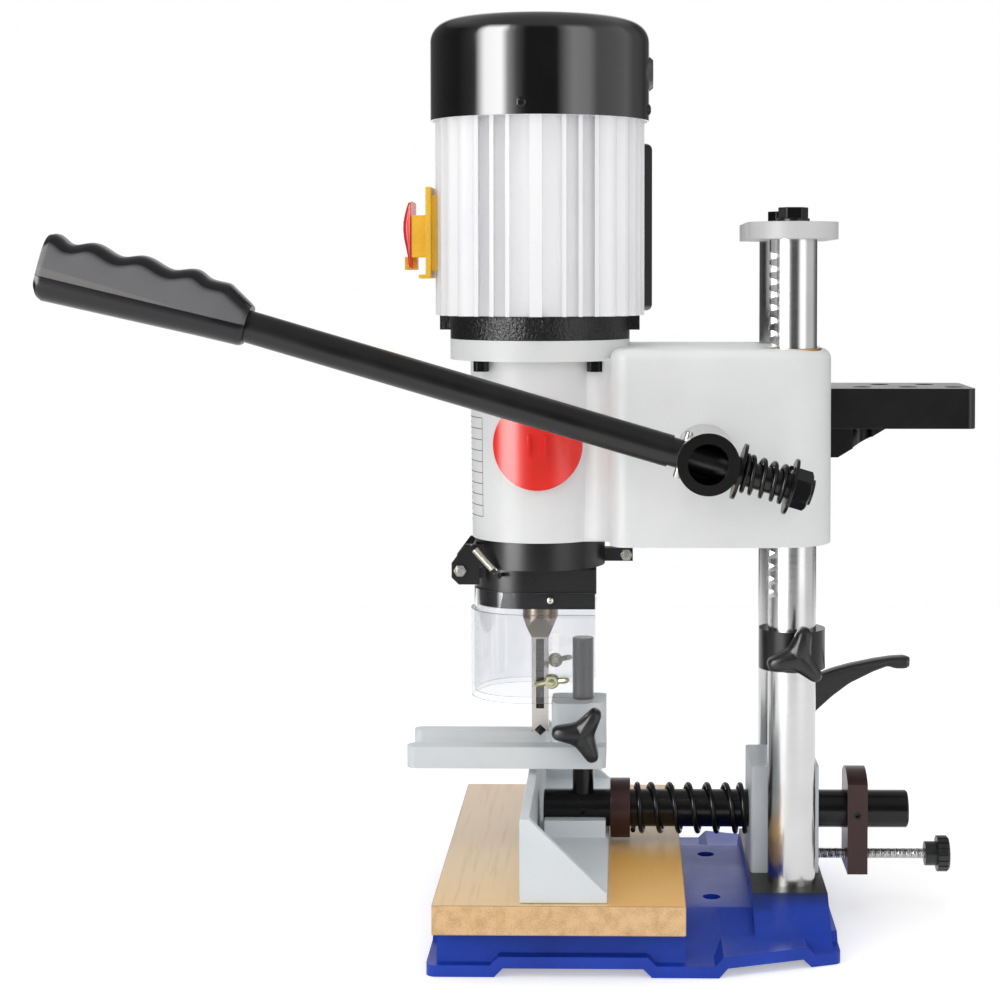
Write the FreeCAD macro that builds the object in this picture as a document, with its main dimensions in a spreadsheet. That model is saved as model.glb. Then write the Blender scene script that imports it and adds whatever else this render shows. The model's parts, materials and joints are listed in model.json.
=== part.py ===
import FreeCAD, Part
import math
import os
import re
import Sketcher

# Benchtop mortiser in millimetres: +Z up, -X is the front where the board lies, +Y the far side.
# The origin is midway between the two bench bolt holes, on the bench.

os.makedirs("parts", exist_ok=True)
doc = FreeCAD.newDocument("mortiser")
sheet = doc.addObject("Spreadsheet::Sheet", "Dims")

sizes = {
    # clearances, and the overrun of every cut
    "run_gap": 0.05,
    "fit_gap": 0.02,
    "seat_gap": 0.3,
    "overrun": 3,
    # base casting
    "base_front": 200,
    "base_rear": 87,
    "base_half_width": 164,
    "base_rear_half_width": 132,
    "taper_start": 1,
    "lip_height": 8,
    "lip_step": 7,
    "deck_half_width": 82,
    "deck_rear_half_width": 77,
    "deck_level": 24,
    "deck_wall": 9,
    "deck_rib": 16,
    "front_deck_half_width": 150,
    "front_deck_flare": 7,
    "base_wall": 14,
    "arch_height": 6,
    "arch_slope": 6,
    "front_foot": 47,
    "middle_foot": 46,
    "rear_foot": 21,
    "side_foot": 58,
    "bench_hole_spacing": 112,
    "bench_hole_radius": 6.5,
    "bench_boss_radius": 13,
    "pad_front": 28,
    "pad_rear": 82,
    "pad_half_width": 87,
    "pad_flare": 40,
    "pad_height": 12.3,
    # work board
    "board_front": 195.4,
    "board_length": 173.5,
    "board_half_width": 170,
    "board_thickness": 20.5,
    "board_level": 30.5,
    "board_edge": 1,
    # columns, rack and top plate
    "column_x": 58.2,
    "column_spacing": 110,
    "column_radius": 17.5,
    "column_height": 469.1,
    "gear_module": 3,
    "gear_teeth": 34,
    "gear_backlash": 0.35,
    "rack_gaps_below": 11,
    "rack_gaps_above": 15,
    "rack_root_clearance": 0.75,
    "top_plate_width": 66,
    "top_plate_half_length": 85,
    "top_plate_thickness": 12.6,
    "column_bolt_radius": 6,
    "column_bolt_depth": 30,
    "column_bolt_flats": 19,
    "column_bolt_head": 8,
    "column_washer_radius": 12,
    "column_washer_thickness": 2.5,
    # depth stop collar and its star knob
    "collar_level": 193.5,
    "collar_height": 29,
    "collar_radius": 24.15,
    "knob_stem_radius": 4,
    "knob_stem_length": 18,
    "knob_reach": 22,
    "knob_lobe_radius": 5.6,
    "knob_hub_radius": 10,
    "knob_thickness": 13,
    "knob_hub_rise": 5,
    # guide block and clamp lever
    "block_front": 29.7,
    "block_length": 50.5,
    "block_half_width": 37,
    "block_above_bar": 40.1,
    "block_edge": 3,
    "clamp_hub_radius": 11,
    "clamp_hub_height": 44,
    "clamp_arm_length": 93,
    "clamp_arm_rise": 36,
    "clamp_arm_depth": 14,
    "clamp_arm_tip_depth": 8,
    "clamp_arm_width": 14,
    "clamp_screw_radius": 5,
    # fence carriage
    "bar_radius": 14,
    "bar_level": 75.3,
    "bar_front": 125,
    "bar_length": 275,
    "bar_chamfer": 1.2,
    "front_collar_front": 74.6,
    "front_collar_length": 15,
    "front_collar_radius": 22.25,
    "set_screw_radius": 3,
    "set_screw_socket": 1.7,
    "fence_spring_radius": 19.3,
    "fence_spring_wire": 3.7,
    "fence_spring_curls": 7,
    "bracket_front": 103,
    "bracket_length": 15,
    "bracket_half_width": 22,
    "bracket_top_radius": 32,
    "bracket_foot_level": 31,
    "adjuster_level": 41.2,
    "adjuster_radius": 4,
    "adjuster_knob_start": 163.4,
    "adjuster_knob_length": 18.1,
    "adjuster_knob_radius": 13.35,
    "adjuster_hub_radius": 9,
    "adjuster_head_length": 9,
    "adjuster_flute_radius": 1.6,
    "adjuster_flutes": 18,
    # fence
    "fence_face": 135.6,
    "fence_plate": 6.6,
    "fence_half_width": 165,
    "fence_height": 57.7,
    "fence_foot_length": 60,
    "fence_foot_height": 7.7,
    "fence_gusset": 7,
    "fence_gusset_tip_height": 6.3,
    "saddle_half_width": 25,
    "saddle_front": 124,
    "saddle_length": 46,
    "saddle_height": 20,
    # post and hold-down
    "post_setback": 95.3,
    "post_radius": 8,
    "post_height": 130.1,
    "fork_front": 226,
    "fork_rear": 77.6,
    "fork_slot_rear": 118.8,
    "fork_half_width": 36,
    "fork_slot_half_width": 20,
    "fork_level": 113,
    "fork_thickness": 16,
    "fork_corner": 7,
    "fork_boss_height": 46,
    "fork_boss_edge": 6,
    "hold_knob_rise": 30,
    "hold_stem_radius": 3,
    "hold_stem_length": 27,
    # head casting
    "spindle_reach": 127.7,
    "head_level": 284.4,
    "arm_height": 142.1,
    "arm_front": 74.3,
    "arm_rear": 87,
    "arm_half_width": 85,
    "arm_front_corner": 14,
    "arm_rear_corner": 42,
    "neck_half_width": 38,
    "neck_fillet": 21,
    "head_wall": 9,
    "arm_edge": 8,
    "housing_radius": 52.5,
    "housing_bottom_radius": 51,
    "housing_drop": 1.6,
    "flange_radius": 67.5,
    "flange_thickness": 15.3,
    "flange_rise": 5.3,
    "chamber_radius": 40,
    "chamber_floor": 17,
    "window_radius": 27,
    "window_rise": 70.6,
    "bush_wall": 3.5,
    "bush_length": 30,
    "pinion_rise": 67.6,
    "pinion_width": 22,
    "pinion_side_gap": 3,
    "pinion_shaft_radius": 15,
    "pinion_tip_gap": 3,
    "spigot_radius": 43,
    "nose_radius": 20,
    "nose_height": 22,
    # lever
    "hub_radius": 21.3,
    "hub_bore": 14,
    "hub_length": 86,
    "hub_bore_depth": 44,
    "lever_offset": 150,
    "shaft_tail": 4,
    "lever_angle": 16.4,
    "rod_radius": 10,
    "tube_radius": 11.2,
    "tube_start": 26.5,
    "grip_start": 328,
    "grip_length": 146,
    "grip_root_height": 31.5,
    "grip_end_height": 47,
    "grip_width": 34,
    "grip_scallop": 4.5,
    "pin_radius": 2.5,
    "pin_length": 33,
    "pin_offset": 17.6,
    "pull_travel": 10,
    "rod_tail_radius": 8.9,
    "lever_washer_radius": 19.6,
    "lever_washer_thickness": 2.4,
    "lever_spring_length": 34,
    "lever_spring_radius": 14,
    "lever_spring_wire": 3.2,
    "lever_spring_curls": 5,
    "lever_nut_flats": 24,
    "lever_nut_thickness": 12,
    "lever_nut_proud": 2,
    # motor
    "motor_flange_height": 17.6,
    "motor_lug": 7.5,
    "motor_lug_width": 16,
    "motor_lug_height": 11,
    "flange_bolt_flats": 10,
    "flange_bolt_head": 8,
    "flange_bolt_radius": 3,
    "flange_bolt_circle": 59,
    "flange_bolts": 4,
    "motor_height": 145,
    "motor_radius": 78.5,
    "motor_core_radius": 67,
    "motor_boss_radius": 8,
    "fin_thickness": 3,
    "fin_pad_width": 9,
    "fin_first_offset": 20.5,
    "fin_pitch": 11.6,
    "motor_bore": 62,
    "shield_height": 13.6,
    "shield_radius": 80,
    "bearing_radius": 17.5,
    "bearing_height": 11,
    "shaft_radius": 7.5,
    "stator_bore": 36,
    "stator_height": 82,
    "stator_rise": 32,
    "air_gap": 0.6,
    "cowl_radius": 82.3,
    "cowl_height": 74.6,
    "cowl_wall": 2,
    "cowl_edge": 16,
    "cowl_slots": 24,
    "cowl_slot_width": 4,
    "cowl_slot_inner": 22,
    "cowl_slot_outer": 58,
    "cowl_screw_rise": 8.2,
    "cowl_screws": 4,
    "cowl_screw_radius": 4.2,
    "cowl_screw_head": 1.8,
    "gland_radius": 15,
    "gland_proud": 2.7,
    "gland_rise": 35.6,
    "fan_radius": 62,
    "fan_blades": 8,
    "fan_blade_thickness": 2,
    "fan_height": 26,
    "fan_plate": 3,
    "fan_rise": 21,
    "box_width": 72,
    "box_reach": 118,
    "box_height": 132,
    "box_rise": 1.6,
    "box_edge": 5,
    "box_angle": 62,
    # switch
    "switch_plate_face": 211.4,
    "switch_plate_thickness": 4,
    "switch_plate_half_width": 29,
    "switch_plate_level": 476.8,
    "switch_plate_height": 67.9,
    "switch_lip": 5,
    "switch_lip_height": 3,
    "switch_saddle_inset": 6,
    "switch_saddle_depth": 13,
    "switch_box_face": 222.7,
    "switch_box_half_width": 20,
    "switch_box_level": 492.6,
    "switch_box_height": 31.3,
    "cover_depth": 7,
    "cover_wall": 1.6,
    "cover_half_width": 21.5,
    "cover_level": 488,
    "cover_height": 43,
    "cover_latch": 5,
    "hinge_radius": 1.5,
    "hinge_eye_radius": 2.8,
    "hinge_half_length": 12,
    "hinge_lug_half_width": 4,
    "hinge_drop": 2,
    "hinge_setback": 3.8,
    "button_radius": 5.5,
    "button_proud": 3.5,
    "button_spacing": 17,
    "button_travel": 3,
    "button_depth": 8,
    # guard
    "ring_height": 20.8,
    "ring_radius": 49,
    "ear_gap": 5,
    "ear_thickness": 3,
    "ear_reach": 21,
    "ear_height": 9.8,
    "ear_rise": 2,
    "bracket_plate": 2.5,
    "bracket_gap": 24,
    "bracket_nose": 192.8,
    "bracket_root": 172,
    "bracket_drop": 10.7,
    "bracket_peak": 19.4,
    "pivot_setback": 186.2,
    "pivot_drop": 24.8,
    "pivot_radius": 2.5,
    "guard_nut_flats": 8,
    "guard_nut_thickness": 4,
    "guard_radius": 38,
    "guard_wall": 3,
    "guard_centre": 137.6,
    "guard_rear": 85.7,
    "guard_height": 29,
    "guard_gap": 0.5,
    "guard_ear_thickness": 2.5,
    "guard_ear_radius": 6,
    "shield_wall": 2,
    "inner_shield_top": 40,
    "inner_shield_bottom": 117,
    "outer_shield_top": 55.8,
    "outer_shield_bottom": 121.4,
    "outer_shield_gap": 0.5,
    "shield_corner": 8,
    "shield_travel": 20,
    "stud_radius": 2.5,
    "stud_setback": 117.6,
    "stud_drop": 104.4,
    "wing_hub_radius": 5,
    "wing_hub_height": 6,
    "wing_reach": 13,
    "wing_thickness": 2.4,
    "wing_height": 6,
    "guard_spring_radius": 2.5,
    "guard_spring_wire": 0.7,
    "guard_spring_curls": 14,
    "guard_spring_upper_setback": 174.8,
    "guard_spring_upper_drop": 9.2,
    "guard_spring_lower_setback": 158.6,
    "guard_spring_lower_drop": 24.6,
    "guard_spring_upper_offset": 31,
    "guard_spring_lower_offset": 41.5,
    "guard_peg_radius": 1.6,
    "guard_peg_setback": 3.4,
    "guard_upper_peg_length": 9,
    "guard_lower_peg_length": 14,
    # chisel, chuck and auger
    "bushing_radius": 13.4,
    "bushing_drop": 70,
    "bushing_height": 56,
    "bushing_taper": 16,
    "chisel_width": 12.7,
    "chisel_bore": 5,
    "chisel_drop": 150.4,
    "chisel_slot_width": 6,
    "chisel_slot_height": 56,
    "chisel_slot_rise": 18,
    "chisel_hollow": 6,
    "auger_radius": 4.4,
    "auger_tip": 4,
    "chuck_radius": 18,
    "chuck_nose_radius": 11,
    "chuck_height": 56,
    "chuck_nose_height": 16,
    "chuck_rise": 48,
    # chisel holder and access covers
    "holder_length": 106.8,
    "holder_half_width": 41,
    "holder_thickness": 29.6,
    "holder_top": 396.2,
    "holder_gusset_depth": 23.1,
    "holder_gusset_length": 46,
    "holder_gusset_foot": 8,
    "holder_gusset_half_width": 18,
    "holder_corner": 6,
    "holder_hole_radius": 7,
    "holder_hole_pitch": 17,
    "holder_hole_offset": 17,
    "holder_holes": 5,
    "holder_first_hole": 26,
    "cover_plate_radius": 33,
    "cover_plate_thickness": 2.5,
    "cover_plug_wall": 2,
    "cover_plug_depth": 7,
    "cover_grip_height": 15,
    "cover_grip_thickness": 2,
    "cover_grip_gap": 10,
    "cover_grip_proud": 5,
}

for row, (alias, value) in enumerate(sizes.items(), 1):
    sheet.set("A%d" % row, alias.replace("_", " "))
    sheet.set("B%d" % row, str(value))
    sheet.setAlias("B%d" % row, alias)
doc.recompute()

# Places that several pieces share, as expression text
spindleX = "(-spindle_reach)"
pinionX = "(column_x - column_radius + gear_module - gear_teeth * gear_module / 2)"
pinionZ = "(head_level + pinion_rise)"
nearY = "(-column_spacing / 2)"
farY = "(column_spacing / 2)"
padTop = "(deck_level + pad_height)"
columnTop = "(deck_level + pad_height + column_height)"
boardTop = "(board_level + board_thickness)"
housingBottom = "(head_level - housing_drop)"
flangeTop = "(head_level + arm_height + flange_rise)"
motorBottom = "(head_level + arm_height + flange_rise + motor_flange_height)"
motorTop = "(head_level + arm_height + flange_rise + motor_flange_height + motor_height)"
chisellingZ = "(head_level - chisel_drop)"
postX = "(-post_setback)"
guardTop = "(head_level - housing_drop - ring_height - guard_gap)"
windowZ = "(head_level + window_rise)"

alongX = ((0, 1, 0), 90)
alongY = ((1, 0, 0), -90)
towardsMinusY = ((1, 0, 0), 90)


def bound(text):
    """Point each size named in an expression at its cell in the sheet."""
    def cell(found):
        word = found.group()
        return "Dims." + word if word in sizes else word
    return re.sub(r"[a-z][a-z_]*", cell, text)


def place(item, x="0", y="0", z="0", turn=None):
    if turn:
        rotation = FreeCAD.Rotation(FreeCAD.Vector(*turn[0]), turn[1])
        item.Placement = FreeCAD.Placement(FreeCAD.Vector(), rotation)
    for letter, text in zip("xyz", (x, y, z)):
        if text != "0":
            item.setExpression("Placement.Base." + letter, bound(text))
    return item


def primitive(kind, name, properties, where):
    item = doc.addObject(kind, name)
    for key, text in properties.items():
        item.setExpression(key, bound(text))
    return place(item, *where)


def cylinder(name, radius, height, x="0", y="0", z="0", turn=None):
    return primitive("Part::Cylinder", name, {"Radius": radius, "Height": height}, (x, y, z, turn))


def cone(name, low, high, height, x="0", y="0", z="0", turn=None):
    shape = {"Radius1": low, "Radius2": high, "Height": height}
    return primitive("Part::Cone", name, shape, (x, y, z, turn))


def box(name, length, width, height, x="0", y="0", z="0"):
    return primitive("Part::Box", name, {"Length": length, "Width": width, "Height": height}, (x, y, z))


def wide_box(name, length, half_width, height, x="0", z="0"):
    """A box centred on the XZ plane."""
    return box(name, length, "2 * (%s)" % half_width, height, x, "-(%s)" % half_width, z)


def hexagon(name, flats, height, x="0", y="0", z="0", turn=None):
    item = doc.addObject("Part::Prism", name)
    item.Polygon = 6
    item.setExpression("Circumradius", bound("(%s) / 2 / cos(30)" % flats))
    item.setExpression("Height", bound(height))
    return place(item, x, y, z, turn)


def fuse(name, *items):
    item = doc.addObject("Part::MultiFuse", name)
    item.Shapes = list(items)
    item.Refine = True
    return item


def cut(name, base, *tools):
    item = doc.addObject("Part::Cut", name)
    item.Base = base
    item.Tool = tools[0] if len(tools) == 1 else fuse(name + "_tools", *tools)
    item.Refine = True
    return item


def common(name, first, second):
    item = doc.addObject("Part::Common", name)
    item.Base = first
    item.Tool = second
    return item


def draw(sketch, points):
    """A closed outline in a sketch, each corner held by two bound distances."""
    count = len(points)
    corners = []
    for step in range(count):
        turn = 2 * math.pi * step / count
        corners.append(FreeCAD.Vector(math.cos(turn), math.sin(turn), 0))
    first = sketch.GeometryCount
    for step in range(count):
        sketch.addGeometry(Part.LineSegment(corners[step], corners[(step + 1) % count]))
    for step in range(count):
        following = first + (step + 1) % count
        sketch.addConstraint(Sketcher.Constraint("Coincident", first + step, 2, following, 1))
    for step, (across, up) in enumerate(points):
        for kind, text, start in (("DistanceX", across, corners[step].x), ("DistanceY", up, corners[step].y)):
            spot = sketch.addConstraint(Sketcher.Constraint(kind, -1, 1, first + step, 1, start))
            sketch.setExpression("Constraints[%d]" % spot, bound(text))
    return sketch


def ring(sketch, radius):
    """A circle about the sketch's origin with a bound radius."""
    edge = sketch.addGeometry(Part.Circle(FreeCAD.Vector(), FreeCAD.Vector(0, 0, 1), 1))
    sketch.addConstraint(Sketcher.Constraint("Coincident", edge, 3, -1, 1))
    spot = sketch.addConstraint(Sketcher.Constraint("Radius", edge, 1))
    sketch.setExpression("Constraints[%d]" % spot, bound(radius))


def body_sketch(body, name, role):
    sketch = body.newObject("Sketcher::SketchObject", name)
    planes = [item for item in body.Origin.OriginFeatures if item.Role == role]
    sketch.AttachmentSupport = [(planes[0], "")]
    sketch.MapMode = "FlatFace"
    return sketch


def pad(name, role, points, depth, middle=False, where=()):
    """A body padded from an outline on one of its own planes."""
    body = doc.addObject("PartDesign::Body", name)
    sketch = draw(body_sketch(body, name + "_outline", role), points)
    feature = body.newObject("PartDesign::Pad", name + "_pad")
    feature.Profile = sketch
    feature.Midplane = middle
    feature.setExpression("Length", bound(depth))
    return place(body, *where)


def turned(name, points, where=()):
    """A body revolved about its own Z axis from a half profile of radius and height."""
    body = doc.addObject("PartDesign::Body", name)
    sketch = draw(body_sketch(body, name + "_profile", "XZ_Plane"), points)
    feature = body.newObject("PartDesign::Revolution", name + "_turn")
    feature.Profile = sketch
    feature.ReferenceAxis = (sketch, ["V_Axis"])
    feature.Angle = 360
    return place(body, *where)


def lengthwise(axis):
    """A chooser of straight edges that run along one axis of the body."""
    def chosen(edge):
        straight = isinstance(edge.Curve, Part.Line)
        return straight and abs(edge.Curve.Direction.dot(FreeCAD.Vector(*axis))) > 1 - 1e-6
    return chosen


def dress(body, kind, size, chosen):
    """Round or chamfer the edges of a body that a chooser picks."""
    doc.recompute()
    base = body.Tip
    names = ["Edge%d" % count for count, edge in enumerate(base.Shape.Edges, 1) if chosen(edge)]
    feature = body.newObject("PartDesign::" + kind, body.Name + "_" + kind.lower())
    feature.Base = (base, names)
    feature.setExpression("Radius" if kind == "Fillet" else "Size", bound(size))
    return body


def pocket(body, name, role, points, depth):
    """A cut through a body from an outline, both ways from the plane."""
    sketch = draw(body_sketch(body, name + "_outline", role), points)
    feature = body.newObject("PartDesign::Pocket", name)
    feature.Profile = sketch
    feature.Midplane = True
    feature.setExpression("Length", bound(depth))
    return feature


def origin_axis(body, role):
    return [item for item in body.Origin.OriginFeatures if item.Role == role][0]


def polar(body, feature, count):
    pattern = body.newObject("PartDesign::PolarPattern", feature.Name + "_pattern")
    pattern.Originals = [feature]
    pattern.Axis = (origin_axis(body, "Z_Axis"), [""])
    pattern.Angle = 360
    pattern.setExpression("Occurrences", bound(count))
    body.Tip = pattern
    return pattern


nodes = {}


def node(label, item):
    item.Label = label
    nodes[label] = item
    return item


# Helical springs: one unbroken tube swept along pairs of arcs


def biarc(start, leaving, end, arriving):
    """Two arcs that join two points and keep both directions."""
    span = end - start
    both = leaving + arriving
    spread = 2 * (1 - leaving.dot(arriving))
    lead = (math.sqrt(span.dot(both) ** 2 + spread * span.dot(span)) - span.dot(both)) / spread
    if spread < 1e-9:
        lead = span.dot(span) / (2 * span.dot(both))
    near = start + leaving * lead
    far = end - arriving * lead
    joint = (near + far) * 0.5
    edges = []
    for first, corner, last in ((start, near, joint), (joint, far, end)):
        middle = (first + last) * 0.5
        half = (last - first).Length / 2
        rise = (corner - middle).Length
        sag = half * math.tan(math.atan2(rise, half) / 2)
        top = middle + (corner - middle) * (sag / rise)
        edges.append(Part.Arc(first, top, last).toShape())
    return edges


def helix_spring(radius, wire, curls, length, closed_share, steps_per_curl=2):
    """A spring along +Z from 0 to its length; its end curls rise by a share of the others."""
    steps = curls * steps_per_curl
    rise = length - wire
    weights = []
    for step in range(steps):
        end_curl = step < steps_per_curl or step >= steps - steps_per_curl
        weights.append(closed_share if end_curl else 1)
    heights = [wire / 2]
    for weight in weights:
        heights.append(heights[-1] + rise * weight / sum(weights))
    points = []
    for step, height in enumerate(heights):
        turn = 2 * math.pi * step / steps_per_curl
        points.append(FreeCAD.Vector(radius * math.cos(turn), radius * math.sin(turn), height))
    headings = []
    for step in range(steps + 1):
        before = heights[max(step - 1, 0)]
        after = heights[min(step + 1, steps)]
        spread = (min(step + 1, steps) - max(step - 1, 0)) * 2 * math.pi / steps_per_curl
        turn = 2 * math.pi * step / steps_per_curl
        heading = FreeCAD.Vector(-radius * math.sin(turn), radius * math.cos(turn), (after - before) / spread)
        headings.append(heading.normalize())
    edges = []
    for step in range(steps):
        edges += biarc(points[step], headings[step], points[step + 1], headings[step + 1])
    path = Part.Wire(edges)
    circle = Part.Wire([Part.makeCircle(wire / 2, points[0], headings[0])])
    sweep = Part.BRepOffsetAPI.MakePipeShell(path)
    sweep.add(circle)
    sweep.build()
    sweep.makeSolid()
    return sweep.shape(), edges


def least_gap(edges, wire, steps_per_curl=2):
    """The least gap between one curl and the next, measured on points."""
    samples = []
    per_edge = 6
    for edge in edges:
        samples += edge.discretize(per_edge + 1)[:-1]
    half_curl = per_edge * steps_per_curl
    least = None
    for step, point in enumerate(samples):
        for other in samples[step + half_curl:]:
            distance = point.distanceToPoint(other) - wire
            if least is None or distance < least:
                least = distance
    return least


def spring(label, radius, wire, curls, length, where, closed_share=0.5):
    """A spring node; where gives its foot and the turn of its axis."""
    shape, edges = helix_spring(radius - wire / 2, wire, curls, length, closed_share)
    item = doc.addObject("Part::Feature", label)
    item.Shape = shape
    place(item, *where)
    print("%s: least self gap %.2f mm over %d curls" % (label, least_gap(edges, wire), curls))
    return node(label, item)


def read(alias):
    """A size as the sheet holds it."""
    return float(getattr(sheet, alias))


# Base casting: lipped skirt on feet, two hollow decks, bolt bosses and the raised column pad


def skirt(step, rear):
    """The foot outline, drawn in by a step; the rear narrows from taper_start."""
    return [
        ("-base_front + %s" % step, "-base_half_width + %s" % step),
        ("taper_start", "-base_half_width + %s" % step),
        ("%s - %s" % (rear, step), "-base_rear_half_width + %s" % step),
        ("%s - %s" % (rear, step), "base_rear_half_width - %s" % step),
        ("taper_start", "base_half_width - %s" % step),
        ("-base_front + %s" % step, "base_half_width - %s" % step),
    ]


def flat_outline(name, points, level):
    sketch = doc.addObject("Sketcher::SketchObject", name)
    draw(sketch, points)
    return place(sketch, "0", "0", level)


def arched_band(name, role, low, high, feet, depth):
    """The lip's height along one side: low over the feet, higher over each arch between them."""
    points = [(high, "0"), (high, "lip_height")]
    for left, right in feet:
        points += [
            ("%s + arch_slope / 2" % right, "lip_height"),
            ("%s - arch_slope / 2" % right, "lip_height + arch_height"),
            ("%s + arch_slope / 2" % left, "lip_height + arch_height"),
            ("%s - arch_slope / 2" % left, "lip_height"),
        ]
    return pad(name, role, points + [(low, "lip_height"), (low, "0")], depth, middle=True)


frontFeet = ("(-base_front + front_foot)", "(taper_start - middle_foot)")
rearFeet = ("taper_start", "(base_rear - rear_foot)")
sideFeet = ("(side_foot - base_half_width)", "(base_half_width - side_foot)")
lipBands = fuse(
    "base_lip_bands",
    arched_band(
        "base_side_band",
        "XZ_Plane",
        "-base_front",
        "base_rear",
        (rearFeet, frontFeet),
        "2 * base_half_width",
    ),
    arched_band(
        "base_end_band",
        "YZ_Plane",
        "-base_half_width",
        "base_half_width",
        (sideFeet,),
        "2 * base_front",
    ),
)
lipOutline = pad("base_lip_outline", "XY_Plane", skirt("0", "base_rear"), "lip_height + arch_height")
dress(lipOutline, "Fillet", "lip_step", lengthwise((0, 0, 1)))
lip = common("base_lip", lipBands, lipOutline)
deckTopOutline = [
    ("-base_front + base_wall", "-deck_half_width"),
    ("taper_start", "-deck_half_width"),
    ("base_rear - lip_step", "-deck_rear_half_width"),
    ("base_rear - lip_step", "deck_rear_half_width"),
    ("taper_start", "deck_half_width"),
    ("-base_front + base_wall", "deck_half_width"),
]
deck = doc.addObject("Part::Loft", "base_deck")
deck.Sections = [
    flat_outline("deck_foot", skirt("lip_step", "base_rear"), "lip_height / 2"),
    flat_outline("deck_top", deckTopOutline, "deck_level"),
]
deck.Solid = True
deck.Ruled = True
frontDeck = pad(
    "base_front_deck",
    "YZ_Plane",
    [
        ("-front_deck_half_width - front_deck_flare", "lip_height / 2"),
        ("front_deck_half_width + front_deck_flare", "lip_height / 2"),
        ("front_deck_half_width", "board_level"),
        ("-front_deck_half_width", "board_level"),
    ],
    "base_front - lip_step - bench_boss_radius - deck_wall",
    where=("-base_front + lip_step",),
)
raisedPad = pad(
    "base_pad",
    "YZ_Plane",
    [
        ("-pad_half_width - pad_flare", "lip_height"),
        ("pad_half_width + pad_flare", "lip_height"),
        ("pad_half_width", padTop),
        ("-pad_half_width", padTop),
    ],
    "pad_rear - pad_front",
    where=("pad_front",),
)
frontHollow = wide_box(
    "base_front_hollow",
    "base_front - 2 * base_wall - deck_rib - bench_boss_radius",
    "front_deck_half_width - base_wall",
    "board_level - deck_wall",
    "-base_front + 2 * base_wall",
    "0",
)
rearHollow = wide_box(
    "base_rear_hollow",
    "base_rear - lip_step - 2 * base_wall + bench_boss_radius",
    "deck_rear_half_width - base_wall",
    "deck_level - deck_wall",
    "-bench_boss_radius",
    "0",
)


def arch(name, feet):
    """A low opening between two feet, through both side walls."""
    return pad(
        name,
        "XZ_Plane",
        [
            (feet[0], "-overrun"),
            (feet[0], "0"),
            ("%s + arch_slope" % feet[0], "arch_height"),
            ("%s - arch_slope" % feet[1], "arch_height"),
            (feet[1], "0"),
            (feet[1], "-overrun"),
        ],
        "2 * base_half_width + 2 * overrun",
        middle=True,
    )


frontArch = arch("base_front_arch", frontFeet)
rearArch = arch("base_rear_arch", rearFeet)
crossArch = wide_box(
    "base_cross_arch",
    "base_front + base_rear + 2 * overrun",
    "base_half_width - side_foot",
    "arch_height + overrun",
    "-base_front - overrun",
    "-overrun",
)
shell = cut(
    "base_shell",
    fuse("base_solid", lip, deck, frontDeck, raisedPad),
    frontHollow,
    rearHollow,
    frontArch,
    rearArch,
    crossArch,
)
bosses = []
benchHoles = []
for side, name in ((-1, "near"), (1, "far")):
    y = "%d * bench_hole_spacing / 2" % side
    bosses.append(cylinder(name + "_bench_boss", "bench_boss_radius", "deck_level", "0", y, "0"))
    hole = cylinder(name + "_bench_hole", "bench_hole_radius", "deck_level + 2 * overrun", "0", y, "-overrun")
    benchHoles.append(hole)
node("base_casting", cut("base_casting", fuse("base_bossed", shell, *bosses), *benchHoles))

# Work board on the front deck
board = pad(
    "work_board",
    "XY_Plane",
    [
        ("-board_front", "-board_half_width"),
        ("-board_front + board_length", "-board_half_width"),
        ("-board_front + board_length", "board_half_width"),
        ("-board_front", "board_half_width"),
    ],
    "board_thickness",
    where=("0", "0", "board_level"),
)
dress(board, "Chamfer", "board_edge", lengthwise((0, 0, 1)))
node("work_board", board)

# Columns: the near one carries the rack, cut as a row of trapezoid gaps in its front
column = doc.addObject("PartDesign::Body", "near_column")
columnSketch = body_sketch(column, "near_column_round", "XY_Plane")
ring(columnSketch, "column_radius")
columnPad = column.newObject("PartDesign::Pad", "near_column_pad")
columnPad.Profile = columnSketch
columnPad.setExpression("Length", bound("column_height"))
rackPitch = "(pi * gear_module)"
lowestGap = "(%s - %s - rack_gaps_below * %s)" % (pinionZ, padTop, rackPitch)
gapTip = "(%s / 4 + gear_module * tan(20))" % rackPitch
gapRoot = "(%s / 4 - (gear_module + rack_root_clearance) * tan(20))" % rackPitch
gapDepth = "(2 * gear_module + rack_root_clearance)"
rackGap = pocket(
    column,
    "rack_gap",
    "XZ_Plane",
    [
        ("-column_radius - overrun", "%s - %s - overrun * tan(20)" % (lowestGap, gapTip)),
        ("-column_radius + %s" % gapDepth, "%s - %s" % (lowestGap, gapRoot)),
        ("-column_radius + %s" % gapDepth, "%s + %s" % (lowestGap, gapRoot)),
        ("-column_radius - overrun", "%s + %s + overrun * tan(20)" % (lowestGap, gapTip)),
    ],
    "2 * column_radius + 2 * overrun",
)
rack = column.newObject("PartDesign::LinearPattern", "rack")
rack.Originals = [rackGap]
rack.Direction = (origin_axis(column, "Z_Axis"), [""])
rack.setExpression("Length", bound("(rack_gaps_below + rack_gaps_above) * %s" % rackPitch))
rack.setExpression("Occurrences", bound("rack_gaps_below + rack_gaps_above + 1"))
column.Tip = rack


def tapped(name, y):
    """The hole in a column's top that its bolt goes into."""
    depth = "column_bolt_depth + overrun"
    z = columnTop + " - column_bolt_depth"
    return cylinder(name, "column_bolt_radius + fit_gap", depth, "column_x", y, z)


place(column, "column_x", nearY, padTop)
node("near_column", cut("near_column_tapped", column, tapped("near_column_tap", nearY)))
farBlank = cylinder("far_column_round", "column_radius", "column_height", "column_x", farY, padTop)
node("far_column", cut("far_column_tapped", farBlank, tapped("far_column_tap", farY)))

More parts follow.
